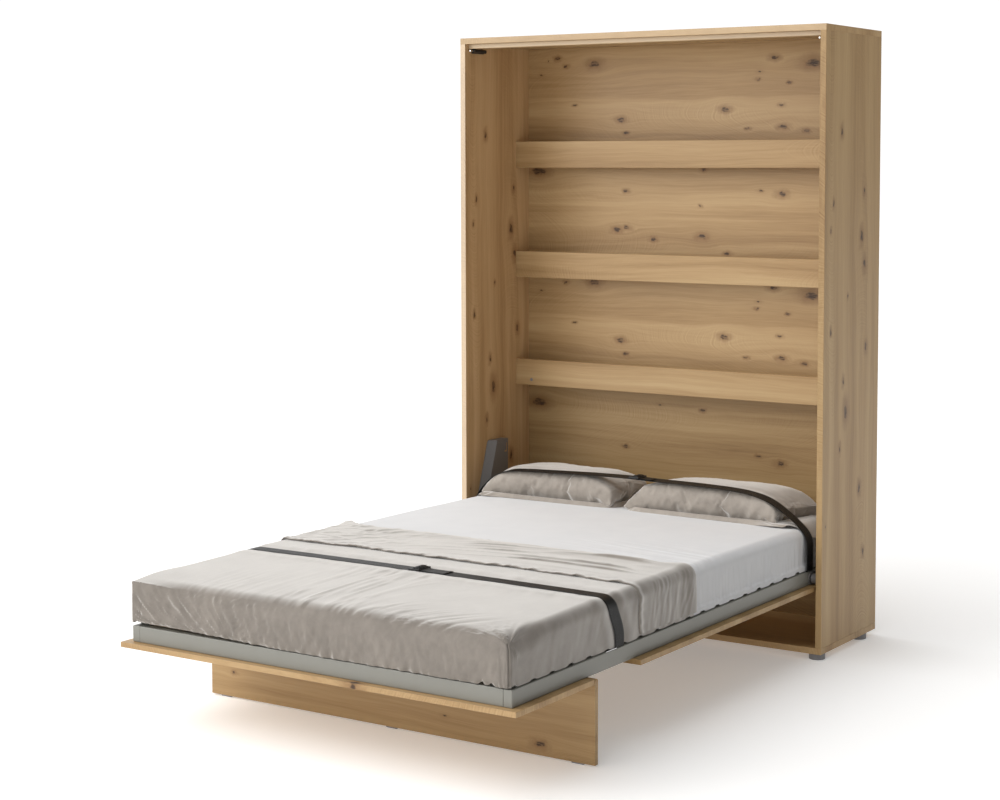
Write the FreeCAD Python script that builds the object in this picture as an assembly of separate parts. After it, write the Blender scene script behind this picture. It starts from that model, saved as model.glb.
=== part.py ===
"""Murphy wall bed: an open-fronted cabinet with a bed that folds up into it.

Units are millimetres, +Z is up, +Y points from the foot of the opened bed to the wall,
and the origin is on the floor under the middle of the whole opened-out object.
Depths (y) in this script are measured from the cabinet's front plane, positive towards
the wall; place() moves every finished shape to the object's own origin.
"""
import FreeCAD, Part
import math
import os

Vec = FreeCAD.Vector
X_AXIS = Vec(1, 0, 0)
Y_AXIS = Vec(0, 1, 0)
Z_AXIS = Vec(0, 0, 1)

# ---------------------------------------------------------------- driving dimensions
CABINET_WIDTH = 1510
CABINET_HEIGHT = 2180
CABINET_DEPTH = 464
FOOT_REACH = 1840          # cabinet front plane to the foot end of the opened bed

BOARD = 22                 # cabinet sides, top and bottom
PANEL = 16                 # front panels, back boards, rails, batten and leg
BOARD_EDGE = 0.7           # broken edge on every board
FOOT_HEIGHT = 21
FOOT_RADIUS = 28.5
FOOT_X = 726
FOOT_DEPTHS = (32, 380)

BACK_FACE = 435            # front face of the back boards
RAIL_FACE = 344            # front face of the cross rails
RAIL_HEIGHT = 102
RAIL_CENTRES = (889, 1314, 1744)
BATTEN_FACE = 24
BATTEN_DEPTH = 46
WALL_HOLE_RADIUS = 4
WALL_HOLE_X = 640
WALL_HOLE_Z = 2110

PIVOT_Y = 38.5             # bed pivot axis, parallel to X
PIVOT_Z = 276.5
FRONT_BOTTOM = 238         # underside of the front panels when the bed is open
FRONT_GAP = 8              # side gap between the front panels and the cabinet
FOOT_PANEL_BACK = -1440.5
MIDDLE_PANEL_FRONT = -1180
MIDDLE_PANEL_BACK = 260

FRAME_HALF = 697
FRAME_FOOT = -1816
FRAME_HEAD = 196
FRAME_BOTTOM = FRONT_BOTTOM + PANEL
TUBE_HEIGHT = 50
TUBE_WIDTH = 30
TUBE_WALL = 2
TUBE_RADIUS = 3
HINGE_TUBE = (-1449, -1409)
PLAIN_TUBES = ((-1176, -1146), (-615, -585), (18, 58))

SLAT_COUNT = 20
SLAT_PITCH = 97
SLAT_FIRST = -1754.5       # centre of the slat nearest the foot
SLAT_WIDTH = 65
SLAT_THICK = 7
SLAT_HALF = 672
CAP_WALL = 1.5
CAP_INNER = 655
CAP_OUTER = 688

MATTRESS_HALF = 684
MATTRESS_LENGTH = 2000
MATTRESS_FOOT = -1807
MATTRESS_ROUND = 32        # rounding of the foot end's top edge, which swings past the batten
MATTRESS_THICK = 140
COVER_THICK = 6
COVER_SIDE_FOOT = 8        # the cover is padded out further over the foot end
COVER_HEM = 318
COVER_BACK = -795
FOLD_FRONT = -1130
FOLD_THICK = 5
PILLOW_TALL = 123
PILLOW_FRONT = -35
PILLOW_BACK = 248
PILLOW_INSET = 58           # how far each end slopes in to the top
PILLOW_LEFT = (-686, -90)
PILLOW_RIGHT = (-66, 650)

STRAP_WIDTH = 50
STRAP_THICK = 2
FOOT_STRAP_FRONT = -1325
PILLOW_STRAP_FRONT = 0
ANCHOR_THICK = 2

LEG_AXIS_Y = -1429
LEG_AXIS_Z = 245.5
GLIDE_HEIGHT = 4
EAR_XS = (-600, 0, 600)
HINGE_PIN_RADIUS = 3
RUNNING_CLEARANCE = 0.05

PLATE_THICK = 3
PLATE_BOTTOM = 236
PLATE_TOP = 637
PLATE_BACK = 240
PLATE_FRONT_TOP = 139      # front edge of the plate at the height PLATE_KNEE
PLATE_KNEE = 628
PLATE_SLOPE = 0.3234       # depth gained per unit of height along the front edge
COVER_BOTTOM = 340
COVER_STANDOFF = 30        # wall to the outer face of the mechanism cover
COVER_SHEET = 2
COVER_BEVEL = 24
SHAFT_RADIUS = 10
BUSH_RADIUS = 13
BOSS_RADIUS = 18
CRANK_THICK = 4

STRUT_TOP = (200, 585)     # fixed pivot of the gas spring (depth, height)
STRUT_BOTTOM = (135, 290)  # where the gas spring meets the crank, bed open
STRUT_X = 717
STRUT_TUBE_RADIUS = 9
STRUT_TUBE_BORE = 7.5
STRUT_TUBE_START = 20
STRUT_TUBE_END = 185
STRUT_ROD_RADIUS = 4
STRUT_STUD_RADIUS = 5
STRUT_EYE_RADIUS = 10
STRUT_EYE_HALF = 5

LATCH_X = 722
LATCH_Z = 2134
LATCH_FRONT = 34
LATCH_BACK = 118
PLUNGER_TIP = 16.4
PLUNGER_RADIUS = 4

# ---------------------------------------------------------------- derived dimensions
HALF_WIDTH = CABINET_WIDTH / 2
INNER_HALF = HALF_WIDTH - BOARD
FLOOR_TOP = FOOT_HEIGHT + BOARD
CEILING = CABINET_HEIGHT - BOARD
FRONT_PLANE_Y = (FOOT_REACH - CABINET_DEPTH) / 2
PANEL_HALF = INNER_HALF - FRONT_GAP
FRAME_TOP = FRAME_BOTTOM + TUBE_HEIGHT
SLAT_BOTTOM = FRAME_TOP + CAP_WALL
CAP_TOP = SLAT_BOTTOM + SLAT_THICK + CAP_WALL
MATTRESS_TOP = CAP_TOP + MATTRESS_THICK
MATTRESS_HEAD = MATTRESS_FOOT + MATTRESS_LENGTH
COVER_HALF = MATTRESS_HALF + COVER_THICK
COVER_TOP = MATTRESS_TOP + COVER_THICK
PLATE_FACE = INNER_HALF - PLATE_THICK
COVER_FACE = INNER_HALF - COVER_STANDOFF


# ---------------------------------------------------------------- helpers
def box(x0, x1, y0, y1, z0, z1):
    """Axis-aligned block between two corners."""
    return Part.makeBox(x1 - x0, y1 - y0, z1 - z0, Vec(x0, y0, z0))


def mirrored_box(x0, x1, y0, y1, z0, z1):
    """The same block on the left and on the right."""
    return [box(side * x0 if side > 0 else -x1, side * x1 if side > 0 else -x0, y0, y1, z0, z1)
            for side in (-1, 1)]


def board(x0, x1, y0, y1, z0, z1):
    """Board with slightly broken edges."""
    block = box(x0, x1, y0, y1, z0, z1)
    return block.makeChamfer(BOARD_EDGE, block.Edges)


def rod(radius, start, direction, length):
    return Part.makeCylinder(radius, length, start, direction)


def prism(outline, start, direction):
    """Extrude a closed outline of points, laid from start, along a direction."""
    points = [start + point for point in outline]
    wire = Part.makePolygon(points + [points[0]])
    return Part.Face(wire).extrude(direction)


def tube(x0, x1, y0, y1, z0, z1, along):
    """Rectangular steel tube with rounded long edges, open at both ends."""
    outer = box(x0, x1, y0, y1, z0, z1)
    long_edges = [edge for edge in outer.Edges if abs(edge.tangentAt(0).dot(along)) > 0.9]
    outer = outer.makeFillet(TUBE_RADIUS, long_edges)
    inset = (Vec(1, 1, 1) - along) * TUBE_WALL
    size = Vec(x1 - x0, y1 - y0, z1 - z0) - inset * 2
    inner = Part.makeBox(size.x, size.y, size.z, Vec(x0, y0, z0) + inset)
    return outer.cut(inner)


def mirror(shape):
    return shape.mirror(Vec(0, 0, 0), X_AXIS)


def group(shapes):
    return Part.makeCompound(shapes)


def place(shape):
    """Move a shape from the cabinet-front depths to the object's own origin."""
    moved = shape.copy()
    moved.translate(Vec(0, FRONT_PLANE_Y, 0))
    return moved


def save(name, shape):
    os.makedirs("parts", exist_ok=True)
    place(shape).exportStep("parts/%s.step" % name)


def save_pair(name, right_shape):
    """Write a piece modelled on the right, and its mirror image for the left."""
    save(name + "_right", right_shape)
    save(name + "_left", mirror(right_shape))


# ---------------------------------------------------------------- cabinet
def plate_front(z):
    """Depth of the mechanism plate's slanted front edge at a height."""
    return PLATE_FRONT_TOP - (PLATE_KNEE - z) * PLATE_SLOPE


PLATE_SCREWS = ((75, 256), (128, 256), (75, 330), (130, 470), (215, 440), (160, 610), (225, 530))
SCREW_RADIUS = 2.5
SCREW_HEAD_RADIUS = 5
SCREW_HEAD = 2.5


def plate_screws():
    """Pan-head screws that hold the right mechanism plate to the side panel."""
    screws = []
    for depth, height in PLATE_SCREWS:
        head = rod(SCREW_HEAD_RADIUS, Vec(PLATE_FACE - SCREW_HEAD, depth, height), X_AXIS, SCREW_HEAD)
        head = head.makeChamfer(1, [head.Edges[0]])
        shank = rod(SCREW_RADIUS, Vec(PLATE_FACE, depth, height), X_AXIS, PLATE_THICK + 15)
        screws.append(head.fuse(shank))
    return screws


def make_cabinet():
    side = board(INNER_HALF, HALF_WIDTH, 0, CABINET_DEPTH, FLOOR_TOP, CEILING)
    save_pair("side_panel", side.cut(group(plate_screws())))
    save("top_panel", board(-HALF_WIDTH, HALF_WIDTH, 0, CABINET_DEPTH, CEILING, CABINET_HEIGHT))
    save("bottom_panel", board(-HALF_WIDTH, HALF_WIDTH, 0, CABINET_DEPTH, FOOT_HEIGHT, FLOOR_TOP))

    heights = (FLOOR_TOP,) + RAIL_CENTRES + (CEILING,)
    names = ("lower", "lower_middle", "upper_middle", "upper")
    for name, low, high in zip(names, heights, heights[1:]):
        back = board(-INNER_HALF, INNER_HALF, BACK_FACE, BACK_FACE + PANEL, low, high)
        if name == "upper":
            for side_sign in (-1, 1):
                start = Vec(side_sign * WALL_HOLE_X, BACK_FACE - 1, WALL_HOLE_Z)
                back = back.cut(rod(WALL_HOLE_RADIUS, start, Y_AXIS, PANEL + 2))
        save("back_board_" + name, back)
    strips = [board(-INNER_HALF + 20, INNER_HALF - 20, BACK_FACE + PANEL, CABINET_DEPTH,
                    centre - 30, centre + 30) for centre in RAIL_CENTRES]
    save("back_joint_strips", group(strips))

    for name, centre in zip(("lower", "middle", "upper"), RAIL_CENTRES):
        low = centre - RAIL_HEIGHT / 2
        rail = board(-INNER_HALF, INNER_HALF, RAIL_FACE, RAIL_FACE + PANEL, low, low + RAIL_HEIGHT)
        save("cross_rail_" + name, rail)
    caps = []
    for side_sign in (-1, 1):
        start = Vec(side_sign * 660, RAIL_FACE, RAIL_CENTRES[0] - 29)
        cap = rod(6, start, -Y_AXIS, 2)
        caps.append(cap.makeFillet(1, [cap.Edges[2]]))
    save("rail_screw_caps", group(caps))

    save("stop_batten", board(-INNER_HALF, INNER_HALF, BATTEN_FACE, BATTEN_FACE + BATTEN_DEPTH,
                              CEILING - PANEL, CEILING))
    feet = []
    for x in (-FOOT_X, FOOT_X):
        for depth in FOOT_DEPTHS:
            foot = rod(FOOT_RADIUS, Vec(x, depth, 0), Z_AXIS, FOOT_HEIGHT)
            foot = foot.makeChamfer(1.5, [foot.Edges[2]])
            recess = rod(8, Vec(x, depth, 0), Z_AXIS, 8)
            feet.append(foot.cut(recess))
    save("feet", group(feet))


# ---------------------------------------------------------------- fold mechanism, right side
def strut_direction():
    run = Vec(0, STRUT_BOTTOM[0] - STRUT_TOP[0], STRUT_BOTTOM[1] - STRUT_TOP[1])
    return run.normalize()


def strut_length():
    return math.hypot(STRUT_BOTTOM[0] - STRUT_TOP[0], STRUT_BOTTOM[1] - STRUT_TOP[1])


def make_mechanism():
    outline = [Vec(0, plate_front(PLATE_BOTTOM), PLATE_BOTTOM), Vec(0, PLATE_FRONT_TOP, PLATE_KNEE),
               Vec(0, PLATE_FRONT_TOP + 7, PLATE_TOP), Vec(0, PLATE_BACK, PLATE_TOP),
               Vec(0, PLATE_BACK, 420), Vec(0, 150, PLATE_BOTTOM)]
    plate = prism(outline, Vec(PLATE_FACE, 0, 0), X_AXIS * PLATE_THICK)
    boss_length = 25
    boss_start = Vec(PLATE_FACE - boss_length, PIVOT_Y, PIVOT_Z)
    boss = rod(BOSS_RADIUS, boss_start, X_AXIS, boss_length)
    boss = boss.cut(rod(BUSH_RADIUS, boss_start, X_AXIS, boss_length))
    stud_start = Vec(STRUT_X - STRUT_EYE_HALF - 3, STRUT_TOP[0], STRUT_TOP[1])
    stud = rod(STRUT_STUD_RADIUS, stud_start, X_AXIS, PLATE_FACE - stud_start.x)
    plate = plate.fuse(boss).fuse(stud).cut(group(plate_screws()))
    save_pair("mechanism_plate", plate)
    save("mechanism_screws", group(plate_screws() + [mirror(s) for s in plate_screws()]))

    flange = rod(BUSH_RADIUS + 3, boss_start - X_AXIS * 1.5, X_AXIS, 1.5)
    bush = rod(BUSH_RADIUS, boss_start, X_AXIS, boss_length).fuse(flange)
    bore = rod(SHAFT_RADIUS + RUNNING_CLEARANCE, boss_start - X_AXIS * 5, X_AXIS, boss_length + 5)
    save_pair("pivot_bush", bush.cut(bore))

    save_pair("mechanism_cover", mechanism_cover())

    crank_x = FRAME_HALF
    crank_start = Vec(crank_x, 0, 0)
    hub = rod(22, Vec(crank_x, PIVOT_Y, PIVOT_Z), X_AXIS, CRANK_THICK)
    tip = rod(13, Vec(crank_x, STRUT_BOTTOM[0], STRUT_BOTTOM[1]), X_AXIS, CRANK_THICK)
    run = Vec(0, STRUT_BOTTOM[0] - PIVOT_Y, STRUT_BOTTOM[1] - PIVOT_Z)
    across = Vec(0, -run.z, run.y).normalize()
    pivot = Vec(0, PIVOT_Y, PIVOT_Z)
    web = prism([pivot + across * 21, pivot + run + across * 12.5, pivot + run - across * 12.5,
                 pivot - across * 21], crank_start, X_AXIS * CRANK_THICK)
    shaft = rod(SHAFT_RADIUS, Vec(crank_x, PIVOT_Y, PIVOT_Z), X_AXIS, PLATE_FACE - 2 - crank_x)
    save_pair("crank_arm", hub.fuse(tip).fuse(web).fuse(shaft).removeSplitter())


def mechanism_cover():
    """Folded sheet cover: flat face, bevelled slanted front, closed top, slotted rear corner."""
    def section(z, inset):
        front = plate_front(z) + inset * 1.3
        wall_side = PLATE_FACE + (inset > 0)
        back = PLATE_BACK + (inset > 0)
        face = COVER_FACE + inset
        points = [Vec(wall_side, front, z), Vec(face, front + COVER_BEVEL, z),
                  Vec(face, back, z), Vec(wall_side, back, z)]
        return Part.makePolygon(points + [points[0]])

    outer = Part.makeLoft([section(COVER_BOTTOM, 0), section(PLATE_TOP, 0)], True, True)
    inner = Part.makeLoft([section(COVER_BOTTOM - 1, COVER_SHEET),
                           section(PLATE_TOP - COVER_SHEET, COVER_SHEET)], True, True)
    shell = outer.cut(inner)
    tall_slot = box(COVER_FACE - 1, COVER_FACE + 3, 229, 236, 585, 620)
    short_slot = box(COVER_FACE - 1, COVER_FACE + 3, 216, 236, 585, 592)
    return shell.cut(tall_slot.fuse(short_slot))


def make_gas_springs():
    down = strut_direction()
    top = Vec(STRUT_X, STRUT_TOP[0], STRUT_TOP[1])
    bottom = Vec(STRUT_X, STRUT_BOTTOM[0], STRUT_BOTTOM[1])

    eye = rod(STRUT_EYE_RADIUS, top - X_AXIS * STRUT_EYE_HALF, X_AXIS, 2 * STRUT_EYE_HALF)
    neck = rod(4.5, top + down * 6, down, STRUT_TUBE_START - 5)
    barrel = rod(STRUT_TUBE_RADIUS, top + down * STRUT_TUBE_START, down, STRUT_TUBE_END - STRUT_TUBE_START)
    bore = rod(STRUT_TUBE_BORE, top + down * (STRUT_TUBE_START + 4), down,
               STRUT_TUBE_END - STRUT_TUBE_START)
    stud_bore = rod(STRUT_STUD_RADIUS + RUNNING_CLEARANCE, top - X_AXIS * 10, X_AXIS, 20)
    barrel = barrel.cut(bore)
    save_pair("strut_cylinder", barrel.fuse(eye.fuse(neck)).cut(stud_bore))

    gland_length = 12
    gland_start = top + down * (STRUT_TUBE_END - gland_length)
    gland = rod(STRUT_TUBE_BORE, gland_start, down, gland_length)
    passage = rod(STRUT_ROD_RADIUS + RUNNING_CLEARANCE, gland_start - down, down, gland_length + 2)
    save_pair("strut_gland", gland.cut(passage))

    piston_start = 30
    stem = rod(STRUT_ROD_RADIUS, top + down * piston_start, down, strut_length() - piston_start - 5)
    piston = rod(STRUT_TUBE_BORE - 0.1, top + down * piston_start, down, 6)
    end_eye = rod(9, bottom - X_AXIS * STRUT_EYE_HALF, X_AXIS, 2 * STRUT_EYE_HALF)
    crank_gap = 0.3
    stud_start = bottom - X_AXIS * (STRUT_X - FRAME_HALF - CRANK_THICK - crank_gap)
    stud = rod(STRUT_STUD_RADIUS, stud_start, X_AXIS, bottom.x - stud_start.x)
    save_pair("strut_rod", stem.fuse(piston).fuse(end_eye).fuse(stud))


def make_latches():
    start = Vec(LATCH_X, LATCH_FRONT, LATCH_Z)
    length = LATCH_BACK - LATCH_FRONT
    barrel = rod(7, start, Y_AXIS, length)
    flange = box(INNER_HALF - 4, INNER_HALF, LATCH_FRONT + 8, LATCH_BACK, LATCH_Z - 9, LATCH_Z + 7)
    web = box(LATCH_X, INNER_HALF - 4, LATCH_FRONT + 8, LATCH_BACK, LATCH_Z - 4, LATCH_Z + 4)
    bore = rod(PLUNGER_RADIUS + RUNNING_CLEARANCE, start - Y_AXIS, Y_AXIS, 50)
    save_pair("latch_body", barrel.fuse(flange).fuse(web).cut(bore))
    plunger = rod(PLUNGER_RADIUS, Vec(LATCH_X, PLUNGER_TIP, LATCH_Z), Y_AXIS, 50)
    save_pair("latch_plunger", plunger.makeFillet(1.5, [plunger.Edges[2]]))


# ---------------------------------------------------------------- bed frame
PANEL_SCREW_DEPTHS = (-1790, -1480, -1120, -700, -280, 140)
PANEL_SCREW_X = FRAME_HALF - TUBE_WIDTH / 2


def panel_screws():
    """Screws from inside the side rails down into the two front panels."""
    screws = []
    for side_sign in (-1, 1):
        for depth in PANEL_SCREW_DEPTHS:
            base = Vec(side_sign * PANEL_SCREW_X, depth, FRAME_BOTTOM - 12)
            shank = rod(SCREW_RADIUS, base, Z_AXIS, 12 + TUBE_WALL)
            head = rod(SCREW_HEAD_RADIUS, base + Z_AXIS * (12 + TUBE_WALL), Z_AXIS, SCREW_HEAD)
            screws.append(shank.fuse(head))
    return screws


def side_rail():
    """Right side rail: a long tube with closed ends, welded to the cross tubes."""
    x0 = FRAME_HALF - TUBE_WIDTH
    outer = box(x0, FRAME_HALF, FRAME_FOOT, FRAME_HEAD, FRAME_BOTTOM, FRAME_TOP)
    outer = outer.makeFillet(TUBE_RADIUS, outer.Edges)
    inner = box(x0 + TUBE_WALL, FRAME_HALF - TUBE_WALL, FRAME_FOOT + TUBE_WALL, FRAME_HEAD - TUBE_WALL,
                FRAME_BOTTOM + TUBE_WALL, FRAME_TOP - TUBE_WALL)
    return outer.cut(inner)


def make_frame():
    fixings = group(panel_screws())
    for name, rail in (("right", side_rail()), ("left", mirror(side_rail()))):
        save("side_rail_" + name, rail.cut(fixings))
    inner = FRAME_HALF - TUBE_WIDTH
    save("foot_rail", tube(-inner, inner, FRAME_FOOT, FRAME_FOOT + TUBE_WIDTH,
                           FRAME_BOTTOM, FRAME_TOP, X_AXIS))
    save("head_rail", tube(-inner, inner, FRAME_HEAD - TUBE_WIDTH, FRAME_HEAD,
                           FRAME_BOTTOM, FRAME_TOP, X_AXIS))
    cross = [tube(-inner, inner, y0, y1, FRAME_BOTTOM, FRAME_TOP, X_AXIS)
             for y0, y1 in (HINGE_TUBE,) + PLAIN_TUBES]
    save("cross_tubes", group(cross))

    stops = ((FRAME_FOOT, FRAME_FOOT + TUBE_WIDTH), HINGE_TUBE) + PLAIN_TUBES
    stops = stops + ((FRAME_HEAD - TUBE_WIDTH, FRAME_HEAD),)
    beam_half = 15
    beam_height = 40
    beams = [tube(-beam_half, beam_half, near[1], far[0], SLAT_BOTTOM - beam_height, SLAT_BOTTOM, Y_AXIS)
             for near, far in zip(stops, stops[1:])]
    save("centre_beam", group(beams))

    slats = []
    caps = []
    for index in range(SLAT_COUNT):
        centre = SLAT_FIRST + index * SLAT_PITCH
        y0 = centre - SLAT_WIDTH / 2
        y1 = centre + SLAT_WIDTH / 2
        slat = box(-SLAT_HALF, SLAT_HALF, y0, y1, SLAT_BOTTOM, SLAT_BOTTOM + SLAT_THICK)
        slats.append(slat)
        for cap in mirrored_box(CAP_INNER, CAP_OUTER, y0 - CAP_WALL, y1 + CAP_WALL, FRAME_TOP, CAP_TOP):
            cap = cap.makeFillet(1, [e for e in cap.Edges if abs(e.tangentAt(0).dot(X_AXIS)) > 0.9])
            caps.append(cap.cut(slat))
    save("slats", group(slats))
    save("slat_end_caps", group(caps))

    foot_panel = board(-PANEL_HALF, PANEL_HALF, -FOOT_REACH, FOOT_PANEL_BACK, FRONT_BOTTOM, FRAME_BOTTOM)
    save("foot_panel", foot_panel.cut(fixings))
    middle_panel = board(-PANEL_HALF, PANEL_HALF, MIDDLE_PANEL_FRONT, MIDDLE_PANEL_BACK,
                         FRONT_BOTTOM, FRAME_BOTTOM)
    save("middle_panel", middle_panel.cut(fixings))
    save("panel_screws", fixings)

    ear_half = 7
    ears = []
    for x in EAR_XS:
        tab = box(x - 2, x + 2, LEG_AXIS_Y - ear_half, LEG_AXIS_Y + ear_half, LEG_AXIS_Z, FRAME_BOTTOM)
        tip = rod(ear_half, Vec(x - 2, LEG_AXIS_Y, LEG_AXIS_Z), X_AXIS, 4)
        hole = rod(HINGE_PIN_RADIUS + RUNNING_CLEARANCE, Vec(x - 3, LEG_AXIS_Y, LEG_AXIS_Z), X_AXIS, 6)
        ears.append(tab.fuse(tip).cut(hole))
    save("leg_hinge_ears", group(ears))

    anchors = []
    for front in (FOOT_STRAP_FRONT, PILLOW_STRAP_FRONT):
        anchors += mirrored_box(CAP_OUTER + 0.5, FRAME_HALF - 1, front - 5, front + STRAP_WIDTH + 5,
                                FRAME_TOP, FRAME_TOP + ANCHOR_THICK)
    save("strap_anchors", group(anchors))


# ---------------------------------------------------------------- leg board
def make_leg():
    half_thick = PANEL / 2
    y0 = LEG_AXIS_Y - half_thick
    y1 = LEG_AXIS_Y + half_thick
    sheet = board(-PANEL_HALF, PANEL_HALF, y0, y1, GLIDE_HEIGHT, LEG_AXIS_Z + half_thick)
    trimmed = sheet.common(box(-PANEL_HALF, PANEL_HALF, y0, y1, GLIDE_HEIGHT, LEG_AXIS_Z))
    crown = rod(half_thick, Vec(-PANEL_HALF, LEG_AXIS_Y, LEG_AXIS_Z), X_AXIS, 2 * PANEL_HALF)
    leg = trimmed.fuse(crown).removeSplitter()
    pins = []
    pin_half = 18
    for x in EAR_XS:
        notch = box(x - 4, x + 4, y0 - 1, y1 + 1, LEG_AXIS_Z - 9.5, LEG_AXIS_Z + half_thick + 1)
        pin = rod(HINGE_PIN_RADIUS, Vec(x - pin_half, LEG_AXIS_Y, LEG_AXIS_Z), X_AXIS, 2 * pin_half)
        leg = leg.cut(notch).cut(pin)
        pins.append(pin)
    save("leg_board", leg)
    save("leg_hinge_pins", group(pins))
    glides = []
    for x in (-PANEL_HALF + 60, 0, PANEL_HALF - 60):
        glide = box(x - 20, x + 20, y0 + 1, y1 - 1, 0, GLIDE_HEIGHT)
        glides.append(glide.makeChamfer(1, [e for e in glide.Edges if e.BoundBox.ZMax < 0.01]))
    save("leg_glides", group(glides))


# ---------------------------------------------------------------- soft goods
def pillow(x0, x1):
    """Pillow body from three stacked rectangles, widest a third of the way up."""
    def rectangle(z, inset_x, front, back):
        points = [Vec(x0 + inset_x, front, z), Vec(x1 - inset_x, front, z),
                  Vec(x1 - inset_x, back, z), Vec(x0 + inset_x, back, z)]
        return Part.makePolygon(points + [points[0]])

    low = rectangle(MATTRESS_TOP, 18, PILLOW_FRONT + 25, PILLOW_BACK - 25)
    wide = rectangle(MATTRESS_TOP + 46, 0, PILLOW_FRONT, PILLOW_BACK)
    top = rectangle(MATTRESS_TOP + PILLOW_TALL, PILLOW_INSET, PILLOW_FRONT + 65, PILLOW_BACK - 65)
    return Part.makeLoft([low, wide, top], True, True)


def round_foot_edge(block, foot, radius):
    """Round the top edge at the foot end of a block."""
    top = block.BoundBox.ZMax
    edges = [edge for edge in block.Edges
             if abs(edge.CenterOfMass.y - foot) < 0.01 and abs(edge.CenterOfMass.z - top) < 0.01]
    return block.makeFillet(radius, edges)


def strap(path, front):
    """Webbing laid along a path of (x, z) points, given for its inner face."""
    outline = []
    for x, z in path:
        outline.append(Vec(x, 0, z))
    for x, z in reversed(path):
        grow = STRAP_THICK if x > 0 else -STRAP_THICK
        lift = 0 if z < COVER_HEM else STRAP_THICK
        outline.append(Vec(x + grow, 0, z + lift))
    return prism(outline, Vec(0, front, 0), Y_AXIS * STRAP_WIDTH)


def buckle(front, z):
    """Plain three-bar buckle lying on the strap."""
    frame = box(-15, 35, front - 6, front + STRAP_WIDTH + 6, z, z + 6)
    frame = frame.makeFillet(2, frame.Edges)
    for x in (-9, 14):
        slot = box(x, x + 15, front - 1, front + STRAP_WIDTH + 1, z - 1, z + 7)
        frame = frame.cut(slot)
    return frame


def make_soft_goods():
    mattress = box(-MATTRESS_HALF, MATTRESS_HALF, MATTRESS_FOOT, MATTRESS_HEAD, CAP_TOP, MATTRESS_TOP)
    mattress = round_foot_edge(mattress, MATTRESS_FOOT, MATTRESS_ROUND)
    save("mattress", mattress)

    cover_foot = MATTRESS_FOOT - COVER_SIDE_FOOT
    cover = box(-COVER_HALF, COVER_HALF, cover_foot, COVER_BACK, COVER_HEM, COVER_TOP)
    cover = round_foot_edge(cover, cover_foot, MATTRESS_ROUND + COVER_SIDE_FOOT)
    save("bed_cover", cover.cut(mattress))
    fold_half = COVER_HALF + FOLD_THICK - 1
    fold = box(-fold_half, fold_half, FOLD_FRONT, COVER_BACK, COVER_HEM, COVER_TOP + FOLD_THICK)
    save("cover_fold", fold.cut(box(-COVER_HALF, COVER_HALF, cover_foot, COVER_BACK, 0, COVER_TOP)))

    save("pillow_right", pillow(*PILLOW_RIGHT))
    save("pillow_left", pillow(*PILLOW_LEFT))

    anchor_top = FRAME_TOP + ANCHOR_THICK
    side = COVER_HALF + 0.4
    top = COVER_TOP + 0.4
    save("foot_strap", strap([(-side, anchor_top), (-side, top), (side, top), (side, anchor_top)],
                             FOOT_STRAP_FRONT))
    save("foot_strap_buckle", buckle(FOOT_STRAP_FRONT, top + STRAP_THICK))

    side = CAP_OUTER + 1.5
    shoulder = MATTRESS_TOP + 48
    crest = MATTRESS_TOP + PILLOW_TALL + 1
    save("pillow_strap", strap([(-side, anchor_top), (-side, shoulder), (PILLOW_LEFT[0] + PILLOW_INSET, crest),
                                (PILLOW_RIGHT[1] - PILLOW_INSET, crest), (side, shoulder), (side, anchor_top)],
                               PILLOW_STRAP_FRONT))
    save("pillow_strap_buckle", buckle(PILLOW_STRAP_FRONT, crest + STRAP_THICK))


make_cabinet()
make_mechanism()
make_gas_springs()
make_latches()
make_frame()
make_leg()
make_soft_goods()
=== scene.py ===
"""Looks of an opened wall bed: knotty oak boards, painted steel, and bedding, pillows and straps made as cloth."""

import math
from collections import Counter
from itertools import product

import bpy
import numpy as np
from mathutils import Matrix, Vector


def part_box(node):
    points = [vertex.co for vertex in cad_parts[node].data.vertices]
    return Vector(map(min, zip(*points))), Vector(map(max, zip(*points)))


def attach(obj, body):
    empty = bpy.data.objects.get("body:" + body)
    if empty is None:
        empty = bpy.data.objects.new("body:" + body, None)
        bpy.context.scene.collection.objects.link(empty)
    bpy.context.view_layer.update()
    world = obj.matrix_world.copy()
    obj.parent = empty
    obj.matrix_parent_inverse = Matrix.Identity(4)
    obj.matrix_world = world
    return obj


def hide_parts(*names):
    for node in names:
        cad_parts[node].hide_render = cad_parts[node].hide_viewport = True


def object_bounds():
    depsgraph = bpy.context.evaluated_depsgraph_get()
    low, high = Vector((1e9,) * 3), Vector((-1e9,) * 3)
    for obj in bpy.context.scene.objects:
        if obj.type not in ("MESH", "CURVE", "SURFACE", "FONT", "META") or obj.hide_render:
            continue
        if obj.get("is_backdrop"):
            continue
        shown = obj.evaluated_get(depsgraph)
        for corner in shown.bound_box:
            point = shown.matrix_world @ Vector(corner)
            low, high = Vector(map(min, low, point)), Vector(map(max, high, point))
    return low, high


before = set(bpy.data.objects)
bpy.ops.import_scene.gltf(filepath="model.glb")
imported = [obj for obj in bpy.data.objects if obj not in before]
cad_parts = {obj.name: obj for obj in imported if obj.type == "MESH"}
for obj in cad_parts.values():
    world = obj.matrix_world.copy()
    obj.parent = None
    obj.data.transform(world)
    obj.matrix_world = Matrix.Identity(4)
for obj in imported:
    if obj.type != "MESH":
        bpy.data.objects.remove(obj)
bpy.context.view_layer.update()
SCENE = bpy.context.scene
FRONT_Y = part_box("side_panel_left")[0].y  # the cabinet's front plane


def configure(thing, **settings):
    for key, value in settings.items():
        setattr(thing, key, value)
    return thing


# ---- node helpers

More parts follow.
